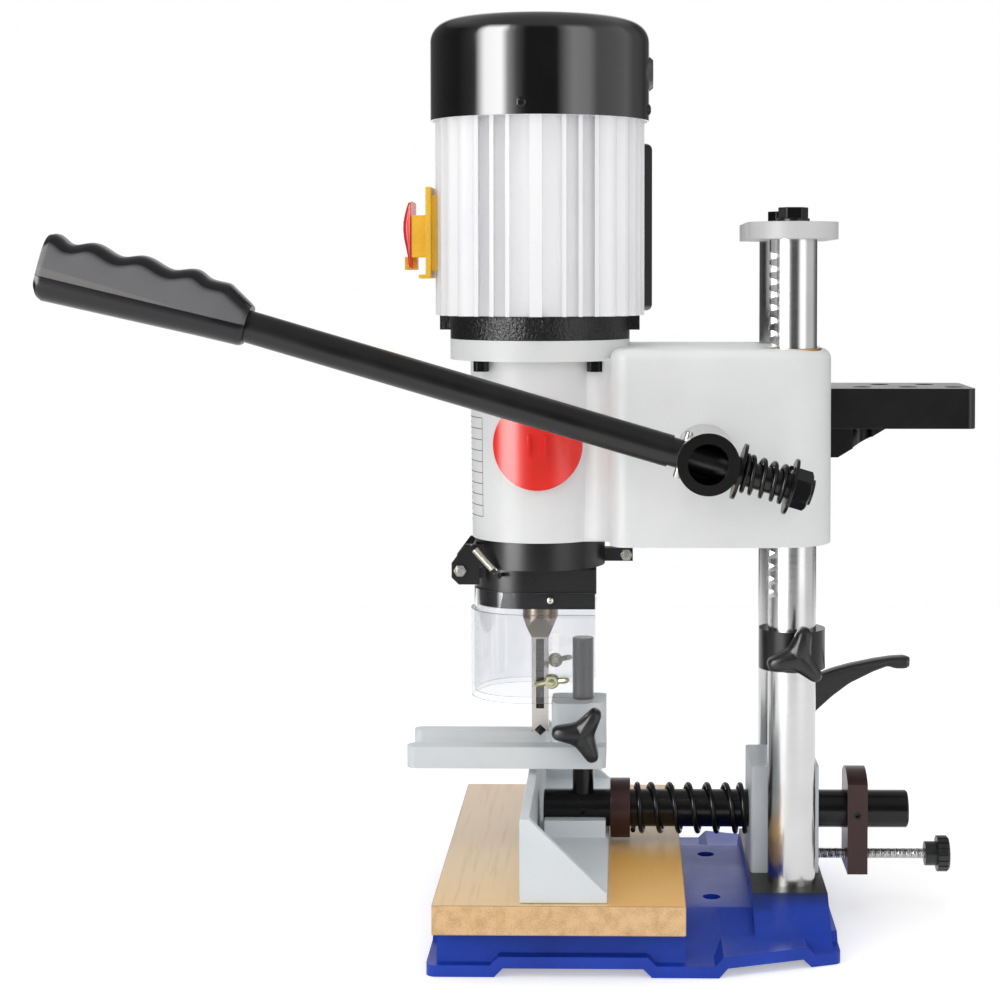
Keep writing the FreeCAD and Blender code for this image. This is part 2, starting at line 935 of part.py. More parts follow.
# Top plate with rounded ends, and its two bolts
plateParts = [
    wide_box(
        "top_plate_middle",
        "top_plate_width",
        "top_plate_half_length - top_plate_width / 2",
        "top_plate_thickness",
        "column_x - top_plate_width / 2",
        columnTop,
    )
]
plateHoles = []
boltParts = []
for side, name in ((-1, "near"), (1, "far")):
    y = "%d * (top_plate_half_length - top_plate_width / 2)" % side
    plateParts.append(
        cylinder(
            name + "_top_plate_end",
            "top_plate_width / 2",
            "top_plate_thickness",
            "column_x",
            y,
            columnTop,
        )
    )
    y = "%d * column_spacing / 2" % side
    plateHoles.append(
        cylinder(
            name + "_top_plate_hole",
            "column_bolt_radius + seat_gap",
            "top_plate_thickness + 2 * overrun",
            "column_x",
            y,
            columnTop + " - overrun",
        )
    )
    plateTop = columnTop + " + top_plate_thickness"
    bolt = fuse(
        name + "_column_bolt",
        cylinder(
            name + "_column_washer",
            "column_washer_radius",
            "column_washer_thickness",
            "column_x",
            y,
            plateTop,
        ),
        hexagon(
            name + "_column_bolt_head",
            "column_bolt_flats",
            "column_bolt_head",
            "column_x",
            y,
            plateTop + " + column_washer_thickness",
        ),
        cylinder(
            name + "_column_bolt_shank",
            "column_bolt_radius",
            "column_bolt_depth + top_plate_thickness - overrun + column_washer_thickness",
            "column_x",
            y,
            columnTop + " - column_bolt_depth + overrun",
        ),
    )
    boltParts.append(bolt)
node("column_top_plate", cut("column_top_plate", fuse("top_plate_solid", *plateParts), *plateHoles))


def group(label, items):
    """Identical pieces that stay separate solids in one node."""
    item = doc.addObject("Part::Compound", label)
    item.Links = list(items)
    return node(label, item)


group("column_bolts", boltParts)

# Depth stop collar on the near column, and the star knobs


def star_knob(name, stem_radius, stem_length, where, first_angle):
    """A three-lobed knob on a screw that points along its own +Z, seen from its -Z side."""
    pieces = [
        cylinder(name + "_stem", stem_radius, stem_length + " + knob_thickness / 2"),
        cylinder(name + "_hub", "knob_hub_radius", "knob_thickness"),
        cone(name + "_crown", "knob_hub_radius - knob_hub_rise / 2", "knob_hub_radius", "knob_hub_rise"),
    ]
    pieces[0].setExpression("Placement.Base.z", bound("-knob_thickness / 2"))
    pieces[1].setExpression("Placement.Base.z", bound("-knob_thickness"))
    pieces[2].setExpression("Placement.Base.z", bound("-knob_thickness - knob_hub_rise"))
    for lobe in range(3):
        angle = first_angle + 120 * lobe
        arm = pad(
            "%s_lobe_%d" % (name, lobe),
            "XY_Plane",
            [
                ("0", "-knob_hub_radius * cos(20)"),
                ("knob_reach - knob_lobe_radius", "-knob_lobe_radius"),
                ("knob_reach - knob_lobe_radius", "knob_lobe_radius"),
                ("0", "knob_hub_radius * cos(20)"),
            ],
            "knob_thickness",
            where=("0", "0", "-knob_thickness", ((0, 0, 1), angle)),
        )
        end = cylinder("%s_tip_%d" % (name, lobe), "knob_lobe_radius", "knob_thickness")
        end.setExpression(
            "Placement.Base.x", bound("(knob_reach - knob_lobe_radius) * cos(%d)" % angle)
        )
        end.setExpression(
            "Placement.Base.y", bound("(knob_reach - knob_lobe_radius) * sin(%d)" % angle)
        )
        end.setExpression("Placement.Base.z", bound("-knob_thickness"))
        pieces += [arm, end]
    return place(fuse(name, *pieces), *where)


collarMiddle = "(collar_level + collar_height / 2)"
node(
    "depth_collar",
    cut(
        "depth_collar",
        cylinder("depth_collar_round", "collar_radius", "collar_height", "column_x", nearY, "collar_level"),
        cylinder(
            "depth_collar_bore",
            "column_radius + run_gap",
            "collar_height + 2 * overrun",
            "column_x",
            nearY,
            "collar_level - overrun",
        ),
        cylinder(
            "depth_collar_tap",
            "knob_stem_radius + run_gap",
            "collar_radius + overrun",
            "column_x",
            nearY,
            collarMiddle,
            towardsMinusY,
        ),
    ),
)
node(
    "depth_knob",
    star_knob(
        "depth_knob",
        "knob_stem_radius",
        "collar_radius - column_radius - seat_gap + knob_stem_length",
        (
            "column_x",
            nearY + " - collar_radius - knob_stem_length",
            collarMiddle,
            alongY,
        ),
        45,
    ),
)

# Guide block on the pad: a bore for the guide bar and a tapped hole for the clamp lever
blockTop = "(bar_level + block_above_bar)"
block = pad(
    "guide_block_cast",
    "XY_Plane",
    [
        ("block_front", "-block_half_width"),
        ("block_front + block_length", "-block_half_width"),
        ("block_front + block_length", "block_half_width"),
        ("block_front", "block_half_width"),
    ],
    blockTop + " - " + padTop,
    where=("0", "0", padTop),
)
dress(block, "Fillet", "block_edge", lengthwise((0, 0, 1)))
node(
    "guide_block",
    cut(
        "guide_block",
        block,
        cylinder(
            "guide_block_bore",
            "bar_radius + run_gap",
            "block_length + 2 * overrun",
            "block_front - overrun",
            "0",
            "bar_level",
            alongX,
        ),
        cylinder(
            "guide_block_tap",
            "clamp_screw_radius + run_gap",
            "block_above_bar + overrun",
            "column_x",
            "0",
            "bar_level",
        ),
    ),
)

# Clamp lever: hub and screw on the vertical axis, with a tapered arm that rises to the rear
clampBase = blockTop + " + seat_gap"
clampTipTop = "clamp_hub_height + clamp_arm_rise - clamp_arm_tip_depth"
clampArm = pad(
    "clamp_arm",
    "XZ_Plane",
    [
        ("0", "clamp_hub_height - clamp_arm_depth"),
        ("clamp_arm_length / 4", "clamp_hub_height - clamp_arm_depth"),
        ("clamp_arm_length - clamp_arm_tip_depth", clampTipTop + " - clamp_arm_tip_depth"),
        ("clamp_arm_length", clampTipTop + " - clamp_arm_tip_depth"),
        ("clamp_arm_length", clampTipTop),
        ("clamp_arm_length - 2 * clamp_arm_tip_depth", clampTipTop),
        ("clamp_arm_length / 5", "clamp_hub_height"),
        ("0", "clamp_hub_height"),
    ],
    "clamp_arm_width",
    middle=True,
    where=("column_x", "0", clampBase),
)
node(
    "clamp_lever",
    fuse(
        "clamp_lever",
        cone(
            "clamp_hub",
            "clamp_hub_radius",
            "clamp_hub_radius - seat_gap",
            "clamp_hub_height",
            "column_x",
            "0",
            clampBase,
        ),
        clampArm,
        cylinder(
            "clamp_screw",
            "clamp_screw_radius",
            "block_above_bar - bar_radius + clamp_hub_height / 2",
            "column_x",
            "0",
            "bar_level + bar_radius + seat_gap",
        ),
    ),
)

# Fence carriage: bar, collar, bracket, spring, fence, post
bar = turned(
    "guide_bar_round",
    [
        ("0", "0"),
        ("bar_radius - bar_chamfer", "0"),
        ("bar_radius", "bar_chamfer"),
        ("bar_radius", "bar_length - bar_chamfer"),
        ("bar_radius - bar_chamfer", "bar_length"),
        ("0", "bar_length"),
    ],
    ("-bar_front", "0", "bar_level", alongX),
)
postFoot = "(bar_level - bar_radius / 2)"
node(
    "guide_bar",
    cut(
        "guide_bar",
        bar,
        cylinder("post_socket", "post_radius + fit_gap", "2 * bar_radius", postX, "0", postFoot),
        cylinder(
            "post_screw_tap",
            "set_screw_radius + fit_gap",
            "bar_radius + overrun",
            postX,
            "0",
            "bar_level",
            towardsMinusY,
        ),
    ),
)
node("post", cylinder("post_round", "post_radius", "post_height + bar_radius / 2", postX, "0", postFoot))
node(
    "front_collar",
    cut(
        "front_collar",
        cylinder(
            "front_collar_round",
            "front_collar_radius",
            "front_collar_length",
            "-front_collar_front",
            "0",
            "bar_level",
            alongX,
        ),
        cylinder(
            "front_collar_bore",
            "bar_radius + fit_gap",
            "front_collar_length + 2 * overrun",
            "-front_collar_front - overrun",
            "0",
            "bar_level",
            alongX,
        ),
    ),
)
bracketSolid = fuse(
    "rear_bracket_solid",
    cylinder(
        "rear_bracket_top",
        "bracket_top_radius",
        "bracket_length",
        "bracket_front",
        "0",
        "bar_level",
        alongX,
    ),
    wide_box(
        "rear_bracket_foot",
        "bracket_length",
        "bracket_half_width",
        "bar_level - bracket_foot_level",
        "bracket_front",
        "bracket_foot_level",
    ),
)
bracketSlab = wide_box(
    "rear_bracket_slab",
    "bracket_length",
    "bracket_half_width",
    "bar_level + bracket_top_radius - bracket_foot_level",
    "bracket_front",
    "bracket_foot_level",
)
node(
    "rear_bracket",
    cut(
        "rear_bracket",
        common("rear_bracket_shape", bracketSolid, bracketSlab),
        cylinder(
            "rear_bracket_bore",
            "bar_radius + fit_gap",
            "bracket_length + 2 * overrun",
            "bracket_front - overrun",
            "0",
            "bar_level",
            alongX,
        ),
        cylinder(
            "rear_bracket_tap",
            "adjuster_radius + run_gap",
            "bracket_length + 2 * overrun",
            "bracket_front - overrun",
            "0",
            "adjuster_level",
            alongX,
        ),
        cylinder(
            "rear_bracket_screw_tap",
            "set_screw_radius + fit_gap",
            "bracket_half_width + overrun",
            "bracket_front + bracket_length / 2",
            "0",
            "bar_level",
            towardsMinusY,
        ),
    ),
)


def set_screw(name, x, outer, inner):
    """A socket set screw that points at the bar from the near side, just under flush."""
    length = "%s - %s - seat_gap" % (outer, inner)
    start = "-(%s) + seat_gap" % outer
    screw = cylinder(name + "_round", "set_screw_radius", length, x, start, "bar_level", alongY)
    socket = hexagon(
        name + "_socket",
        "2 * set_screw_socket",
        "set_screw_radius + overrun",
        x,
        start + " - overrun",
        "bar_level",
        alongY,
    )
    return cut(name, screw, socket)


bracketMiddle = "bracket_front + bracket_length / 2"
group(
    "set_screws",
    [
        set_screw("bracket_set_screw", bracketMiddle, "bracket_half_width", "bar_radius"),
        set_screw("post_set_screw", postX, "bar_radius", "post_radius"),
    ],
)
spring(
    "fence_spring",
    read("fence_spring_radius"),
    read("fence_spring_wire"),
    int(read("fence_spring_curls")),
    read("block_front") + read("front_collar_front") - read("front_collar_length") - 2 * read("seat_gap"),
    ("-front_collar_front + front_collar_length + seat_gap", "0", "bar_level", alongX),
)

# Adjusting screw through the bracket's foot, with its fluted knob
screwStart = "(block_front + block_length + run_gap)"
node(
    "adjusting_screw",
    cylinder(
        "adjusting_screw_round",
        "adjuster_radius",
        "adjuster_knob_start + adjuster_hub_radius - block_front - block_length - run_gap",
        screwStart,
        "0",
        "adjuster_level",
        alongX,
    ),
)
adjuster = turned(
    "adjusting_knob_round",
    [
        ("adjuster_radius + fit_gap", "0"),
        ("adjuster_hub_radius", "0"),
        ("adjuster_hub_radius", "adjuster_knob_length - adjuster_head_length"),
        ("adjuster_knob_radius", "adjuster_knob_length - adjuster_head_length"),
        ("adjuster_knob_radius", "adjuster_knob_length - adjuster_flute_radius"),
        ("adjuster_knob_radius - adjuster_flute_radius", "adjuster_knob_length"),
        ("0", "adjuster_knob_length"),
        ("0", "adjuster_hub_radius + fit_gap"),
        ("adjuster_radius + fit_gap", "adjuster_hub_radius + fit_gap"),
    ],
)
flute = pocket(
    adjuster,
    "adjusting_knob_flute",
    "XY_Plane",
    [
        ("adjuster_knob_radius - adjuster_flute_radius / 2", "-adjuster_flute_radius / 4"),
        ("adjuster_knob_radius + overrun", "-adjuster_flute_radius / 2"),
        ("adjuster_knob_radius + overrun", "adjuster_flute_radius / 2"),
        ("adjuster_knob_radius - adjuster_flute_radius / 2", "adjuster_flute_radius / 4"),
    ],
    "2 * adjuster_knob_length + 2 * overrun",
)
polar(adjuster, flute, "adjuster_flutes")
node("adjusting_knob", place(adjuster, "adjuster_knob_start", "0", "adjuster_level", alongX))

# Fence: upright plate, foot, two end gussets and the saddle that the bar is bolted to
fenceBottom = "(%s + seat_gap)" % boardTop
fenceParts = [
    wide_box("fence_plate", "fence_plate", "fence_half_width", "fence_height", "-fence_face", fenceBottom),
    wide_box(
        "fence_foot",
        "fence_foot_length",
        "fence_half_width",
        "fence_foot_height",
        "-fence_face",
        fenceBottom,
    ),
]
for name, side in (("near", -1), ("far", 1)):
    y = "%d * (fence_half_width - fence_gusset / 2)" % side
    gusset = pad(
        "fence_%s_gusset" % name,
        "XZ_Plane",
        [
            ("0", "0"),
            ("fence_foot_length", "0"),
            ("fence_foot_length", "fence_gusset_tip_height"),
            ("fence_plate", "fence_height"),
            ("0", "fence_height"),
        ],
        "fence_gusset",
        middle=True,
        where=("-fence_face", y, fenceBottom),
    )
    fenceParts.append(gusset)
fenceParts.append(
    wide_box(
        "fence_saddle",
        "saddle_length",
        "saddle_half_width",
        "saddle_height",
        "-saddle_front",
        fenceBottom,
    )
)
node(
    "fence",
    cut(
        "fence",
        fuse("fence_solid", *fenceParts),
        cylinder(
            "fence_bar_groove",
            "bar_radius + fit_gap",
            "fence_foot_length + overrun",
            "-bar_front - fit_gap",
            "0",
            "bar_level",
            alongX,
        ),
    ),
)

# Hold-down: a fork on a split boss that slides on the post
fork = pad(
    "hold_down_fork",
    "XY_Plane",
    [
        ("-fork_front", "-fork_half_width"),
        ("-fork_rear", "-fork_half_width"),
        ("-fork_rear", "fork_half_width"),
        ("-fork_front", "fork_half_width"),
        ("-fork_front", "fork_slot_half_width"),
        ("-fork_slot_rear", "fork_slot_half_width"),
        ("-fork_slot_rear", "-fork_slot_half_width"),
        ("-fork_front", "-fork_slot_half_width"),
    ],
    "fork_thickness",
    where=("0", "0", "fork_level"),
)
dress(fork, "Fillet", "fork_corner", lengthwise((0, 0, 1)))
forkBoss = pad(
    "hold_down_boss",
    "XY_Plane",
    [
        ("-fork_slot_rear", "-fork_slot_half_width"),
        ("-fork_rear", "-fork_slot_half_width"),
        ("-fork_rear", "fork_slot_half_width"),
        ("-fork_slot_rear", "fork_slot_half_width"),
    ],
    "fork_boss_height",
    where=("0", "0", "fork_level"),
)
dress(forkBoss, "Fillet", "fork_boss_edge", lengthwise((0, 0, 1)))
holdKnobZ = "(fork_level + hold_knob_rise)"
node(
    "hold_down",
    cut(
        "hold_down",
        fuse("hold_down_solid", fork, forkBoss),
        cylinder(
            "hold_down_bore",
            "post_radius + run_gap",
            "fork_boss_height + 2 * overrun",
            postX,
            "0",
            "fork_level - overrun",
        ),
        cylinder(
            "hold_down_tap",
            "hold_stem_radius + run_gap",
            "fork_half_width + overrun",
            postX,
            "0",
            holdKnobZ,
            towardsMinusY,
        ),
    ),
)
node(
    "hold_down_knob",
    star_knob(
        "hold_down_knob",
        "hold_stem_radius",
        "fork_slot_half_width - post_radius - seat_gap + hold_stem_length",
        (
            postX,
            "-fork_slot_half_width - hold_stem_length",
            holdKnobZ,
            alongY,
        ),
        60,
    ),
)

# Head casting: arm round the columns, quill housing, motor flange, gear cavity and windows
arm = pad(
    "head_arm",
    "XY_Plane",
    [
        ("-arm_front", "-arm_half_width"),
        ("arm_rear", "-arm_half_width"),
        ("arm_rear", "arm_half_width"),
        ("-arm_front", "arm_half_width"),
    ],
    "arm_height",
    where=("0", "0", "head_level"),
)


def arm_front_edge(edge):
    return lengthwise((0, 0, 1))(edge) and edge.CenterOfMass.x < 0


def arm_rear_edge(edge):
    return lengthwise((0, 0, 1))(edge) and edge.CenterOfMass.x > 0


def arm_rim(edge):
    flat = edge.BoundBox.ZMax - edge.BoundBox.ZMin < 1e-6
    return flat and edge.CenterOfMass.z > sizes["arm_height"] / 2


dress(arm, "Fillet", "arm_front_corner", arm_front_edge)
dress(arm, "Fillet", "arm_rear_corner", arm_rear_edge)
dress(arm, "Fillet", "arm_edge", arm_rim)
armHollow = pad(
    "head_hollow_block",
    "XY_Plane",
    [
        ("-arm_front + head_wall", "-arm_half_width + head_wall"),
        ("arm_rear - head_wall", "-arm_half_width + head_wall"),
        ("arm_rear - head_wall", "arm_half_width - head_wall"),
        ("-arm_front + head_wall", "arm_half_width - head_wall"),
    ],
    "arm_height - 2 * head_wall",
    where=("0", "0", "head_level + head_wall"),
)
dress(armHollow, "Fillet", "arm_rear_corner - head_wall", arm_rear_edge)
housingHeight = "(arm_height + housing_drop + flange_rise - flange_thickness)"
headParts = [
    arm,
    cone(
        "quill_housing",
        "housing_bottom_radius",
        "housing_radius",
        housingHeight,
        spindleX,
        "0",
        housingBottom,
    ),
    cylinder(
        "motor_seat",
        "flange_radius",
        "flange_thickness",
        spindleX,
        "0",
        flangeTop + " - flange_thickness",
    ),
    wide_box(
        "head_neck",
        "spindle_reach - arm_front + arm_front_corner",
        "neck_half_width",
        housingHeight,
        spindleX,
        housingBottom,
    ),
    cut(
        "head_neck_fillets",
        wide_box(
            "head_neck_blend",
            "neck_fillet + arm_front_corner",
            "neck_half_width + neck_fillet",
            "arm_height - arm_edge",
            "-arm_front - neck_fillet",
            "head_level",
        ),
        *[
            cylinder(
                "head_neck_%s_round" % name,
                "neck_fillet",
                "arm_height",
                "-arm_front - neck_fillet",
                "%d * (neck_half_width + neck_fillet)" % side,
                "head_level - overrun",
            )
            for name, side in (("near", -1), ("far", 1))
        ]
    ),
    cylinder(
        "guard_spigot",
        "spigot_radius",
        "ring_height + overrun",
        spindleX,
        "0",
        housingBottom + " - ring_height",
    ),
    cylinder(
        "chisel_nose",
        "nose_radius",
        "nose_height + overrun",
        spindleX,
        "0",
        housingBottom + " - ring_height - nose_height",
    ),
]
chamberFloor = "(head_level + chamber_floor)"
cavityRadius = "(gear_teeth * gear_module / 2 + gear_module + pinion_tip_gap)"
headCuts = [
    cylinder(
        "chuck_chamber",
        "chamber_radius",
        "%s - %s + overrun" % (flangeTop, chamberFloor),
        spindleX,
        "0",
        chamberFloor,
    ),
    cylinder(
        "chisel_socket",
        "bushing_radius + fit_gap",
        "bushing_height + overrun",
        spindleX,
        "0",
        "head_level - bushing_drop - overrun",
    ),
    cylinder(
        "auger_passage",
        "bushing_radius - shield_wall",
        "ring_height + nose_height + chamber_floor + housing_drop + overrun",
        spindleX,
        "0",
        housingBottom + " - ring_height - nose_height",
    ),
    cylinder(
        "access_windows",
        "window_radius",
        "2 * housing_radius + 2 * overrun",
        spindleX,
        "-housing_radius - overrun",
        windowZ,
        alongY,
    ),
    cylinder(
        "gear_cavity",
        cavityRadius,
        "pinion_width + 2 * pinion_side_gap",
        pinionX,
        nearY + " - pinion_width / 2 - pinion_side_gap",
        pinionZ,
        alongY,
    ),
    cylinder(
        "pinion_bore",
        "pinion_shaft_radius + run_gap",
        "2 * arm_half_width + 2 * overrun",
        pinionX,
        "-arm_half_width - overrun",
        pinionZ,
        alongY,
    ),
]
bushes = []
bushRadius = "(column_radius + run_gap + bush_wall)"
hollowBosses = []
for name, side in (("near", -1), ("far", 1)):
    hollowBosses.append(
        cylinder(
            name + "_column_boss",
            bushRadius + " + head_wall",
            "arm_height",
            "column_x",
            "%d * column_spacing / 2" % side,
            "head_level",
        )
    )
    hollowBosses.append(
        cylinder(
            name + "_pinion_boss",
            "pinion_shaft_radius + head_wall",
            "3 * head_wall",
            pinionX,
            "%d * arm_half_width" % side,
            pinionZ,
            towardsMinusY if side > 0 else alongY,
        )
    )
headCuts.append(cut("head_hollow", armHollow, *hollowBosses))
for name, y in (("near", nearY), ("far", farY)):
    headCuts.append(
        cylinder(
            name + "_column_bore",
            bushRadius,
            "arm_height + 2 * overrun",
            "column_x",
            y,
            "head_level - overrun",
        )
    )
    for place_name, level in (("lower", "head_level"), ("upper", "head_level + arm_height - bush_length")):
        blank = cylinder(
            "%s_%s_bush_blank" % (name, place_name),
            bushRadius + " - fit_gap",
            "bush_length",
            "column_x",
            y,
            level,
        )
        bore = cylinder(
            "%s_%s_bush_bore" % (name, place_name),
            "column_radius + run_gap",
            "bush_length + 2 * overrun",
            "column_x",
            y,
            level + " - overrun",
        )
        bushes.append(cut("%s_%s_bush" % (name, place_name), blank, bore))
boltSpots = []
for count in range(int(sizes["flange_bolts"])):
    angle = 45 + 90 * count
    boltSpots.append(
        (
            "%s + flange_bolt_circle * cos(%d)" % (spindleX, angle),
            "flange_bolt_circle * sin(%d)" % angle,
        )
    )
seatBottom = flangeTop + " - flange_thickness"
flangeBolts = []
flangeHoles = []
for count, (x, y) in enumerate(boltSpots):
    headCuts.append(
        cylinder(
            "seat_hole_%d" % count,
            "flange_bolt_radius + fit_gap",
            "flange_thickness + 2 * overrun",
            x,
            y,
            seatBottom + " - overrun",
        )
    )
    headCuts.append(
        cylinder(
            "seat_counterbore_%d" % count,
            "flange_bolt_flats / 2 / cos(30) + seat_gap",
            "flange_bolt_head + seat_gap",
            x,
            y,
            seatBottom + " - flange_bolt_head - seat_gap",
        )
    )
    flangeHoles.append(
        cylinder(
            "motor_flange_hole_%d" % count,
            "flange_bolt_radius + fit_gap",
            "motor_flange_height / 2 + overrun",
            x,
            y,
            flangeTop + " - overrun",
        )
    )
    flangeBolts.append(
        fuse(
            "flange_bolt_%d" % count,
            hexagon(
                "flange_bolt_head_%d" % count,
                "flange_bolt_flats",
                "flange_bolt_head",
                x,
                y,
                seatBottom + " - flange_bolt_head",
            ),
            cylinder(
                "flange_bolt_shank_%d" % count,
                "flange_bolt_radius",
                "flange_thickness + motor_flange_height / 2 - overrun / 2",
                x,
                y,
                seatBottom,
            ),
        )
    )
node("head_casting", cut("head_casting", fuse("head_solid", *headParts), *headCuts))
group("column_bushes", bushes)
group("flange_bolts", flangeBolts)

# Pinion shaft with the lever hub at its near end, and the gear on it
pinionHalf = "(pinion_width / 2)"
leverAxisTurn = ((0, 1, 0), sizes["lever_angle"] - 90)
hubParts = [
    cylinder(
        "pinion_shaft_round",
        "pinion_shaft_radius",
        "2 * arm_half_width + shaft_tail + seat_gap",
        pinionX,
        "-arm_half_width - seat_gap",
        pinionZ,
        alongY,
    ),
    cylinder(
        "pinion_hub",
        "hub_radius",
        "hub_length",
        pinionX,
        "-arm_half_width - seat_gap - hub_length",
        pinionZ,
        alongY,
    ),
]
leverX = "(sin(lever_angle - 90))"
leverZ = "(cos(lever_angle - 90))"


def on_lever(distance):
    """Where a piece starts along the lever, measured from the hub's axis towards the grip."""
    x = "%s + (%s) * %s" % (pinionX, distance, leverX)
    z = "%s + (%s) * %s" % (pinionZ, distance, leverZ)
    return (x, "-lever_offset", z, leverAxisTurn)


node(
    "pinion_shaft",
    cut(
        "pinion_shaft",
        fuse("pinion_shaft_solid", *hubParts),
        cylinder(
            "pinion_hub_bore",
            "hub_bore",
            "hub_bore_depth + overrun",
            pinionX,
            "-arm_half_width - seat_gap - hub_length - overrun",
            pinionZ,
            alongY,
        ),
        cylinder(
            "pinion_hub_cross_hole",
            "rod_radius + run_gap",
            "2 * hub_radius + 2 * overrun",
            *on_lever("-hub_radius - overrun")
        ),
        place(
            pad(
                "pinion_hub_notch",
                "XY_Plane",
                [
                    ("-hub_radius - overrun", "-pin_radius - seat_gap"),
                    ("hub_radius + overrun", "-pin_radius - seat_gap"),
                    ("hub_radius + overrun", "pin_radius + seat_gap"),
                    ("-hub_radius - overrun", "pin_radius + seat_gap"),
                ],
                "hub_radius",
            ),
            *on_lever("pin_offset - pin_radius - seat_gap")
        ),
    ),
)


def gear_outline(teeth, module, backlash, clearance):
    """Corners of a spur gear, its involute flanks as chords, one tooth centred on +X."""
    pitch_radius = teeth * module / 2
    pressure = math.radians(20)
    base_radius = pitch_radius * math.cos(pressure)
    rolled = math.tan(pressure) - pressure
    half_tooth = math.pi / (2 * teeth) - backlash / (2 * pitch_radius) + rolled
    flank = [pitch_radius - module - clearance]
    for part in (-1, 0, 2):
        flank.append(pitch_radius + module * part / 2)
    spread = []
    for radius in flank:
        contact = math.acos(min(base_radius / radius, 1))
        spread.append(half_tooth - math.tan(contact) + contact)
    corners = []
    for tooth in range(teeth):
        middle = 2 * math.pi * tooth / teeth
        lower = [(radius, middle - half) for radius, half in zip(flank, spread)]
        upper = [(radius, middle + half) for radius, half in zip(flank, spread)]
        for radius, angle in lower + upper[::-1]:
            corners.append(FreeCAD.Vector(radius * math.cos(angle), radius * math.sin(angle), 0))
    return corners


gear = doc.addObject("Part::Feature", "pinion_teeth")
gearCorners = gear_outline(
    int(read("gear_teeth")), read("gear_module"), read("gear_backlash"), read("rack_root_clearance")
)
gearFace = Part.Face(Part.makePolygon(gearCorners + gearCorners[:1]))
gear.Shape = gearFace.extrude(FreeCAD.Vector(0, 0, read("pinion_width")))
place(gear, pinionX, nearY + " - " + pinionHalf, pinionZ, alongY)
node(
    "pinion_gear",
    cut(
        "pinion_gear",
        gear,
        cylinder(
            "pinion_gear_bore",
            "pinion_shaft_radius + fit_gap",
            "pinion_width + 2 * overrun",
            pinionX,
            "%s - %s - overrun" % (nearY, pinionHalf),
            pinionZ,
            alongY,
        ),
    ),
)

# The sprung lever rod: rod, tube, grip, cross pin, hub washer, spring and flanged nut
springEnd = "(hub_radius + lever_washer_thickness + lever_spring_length + seat_gap)"
washerEnd = "(%s + lever_washer_thickness)" % springEnd
rodSolid = fuse(
    "lever_rod_solid",
    cylinder(
        "lever_rod_core",
        "rod_radius",
        "grip_start + grip_length / 2 + hub_radius",
        *on_lever("-hub_radius")
    ),
    cylinder("lever_tube", "tube_radius", "grip_start - tube_start", *on_lever("tube_start")),
    cylinder(
        "lever_rod_tail",
        "rod_tail_radius",
        "%s - hub_radius + lever_nut_thickness + lever_nut_proud + overrun" % washerEnd,
        *on_lever("-(%s) - lever_nut_thickness - lever_nut_proud" % washerEnd)
    ),
)
pinTurn = ((0, 1, 0), sizes["lever_angle"])


def pin_cylinder(name, radius, length):
    """A cylinder across the rod, square to it and to the hub's axis."""
    x = "%s + pin_offset * %s - (%s) / 2 * sin(lever_angle)" % (pinionX, leverX, length)
    z = "%s + pin_offset * %s - (%s) / 2 * cos(lever_angle)" % (pinionZ, leverZ, length)
    return cylinder(name, radius, length, x, "-lever_offset", z, pinTurn)


node(
    "lever_rod",
    cut(
        "lever_rod",
        rodSolid,
        pin_cylinder("lever_pin_hole", "pin_radius + fit_gap", "pin_length"),
    ),
)
node("lever_pin", pin_cylinder("lever_pin", "pin_radius", "pin_length"))

# Stations of the grip with its top and bottom, as shares of its length and end height
gripShares = [
    (0, 0.37, 0.3),
    (0.12, 0.52, 0.33),
    (0.3, 0.6, 0.36),
    (0.37, 0.49, 0.38),
    (0.55, 0.56, 0.42),
    (0.62, 0.45, 0.43),
    (0.79, 0.53, 0.47),
    (0.86, 0.41, 0.48),
    (0.96, 0.5, 0.49),
    (0.99, 0.46, 0.45),
    (1, 0.38, 0.38),
]
gripWires = []
for first, last in zip(gripShares, gripShares[1:]):
    for part in (0, 0.25, 0.5, 0.75):
        eased = (1 - math.cos(math.pi * part)) / 2
        along = first[0] + part * (last[0] - first[0])
        top = first[1] + eased * (last[1] - first[1])
        bottom = first[2] + eased * (last[2] - first[2])
        gripWires.append((along, top * read("grip_end_height"), bottom * read("grip_end_height")))
gripWires.append([1] + [share * read("grip_end_height") for share in gripShares[-1][1:]])


def grip_section(along, top, bottom):
    half = (top + bottom) / 2
    centre = FreeCAD.Vector((top - bottom) / 2, 0, along * read("grip_length"))
    width = read("grip_width") / 2 * min(half / (read("grip_width") / 2), 1)
    width = min(width, half * 0.98)
    oval = Part.Ellipse(centre + FreeCAD.Vector(half, 0, 0), centre + FreeCAD.Vector(0, width, 0), centre)
    return Part.Wire([oval.toShape()])


grip = doc.addObject("Part::Feature", "lever_grip_moulding")
grip.Shape = Part.makeLoft([grip_section(*station) for station in gripWires], True, True)
place(grip, *on_lever("grip_start"))
node(
    "lever_grip",
    cut(
        "lever_grip",
        grip,
        cylinder(
            "lever_grip_socket",
            "rod_radius + fit_gap",
            "grip_length / 2 + overrun + fit_gap",
            *on_lever("grip_start - overrun")
        ),
    ),
)


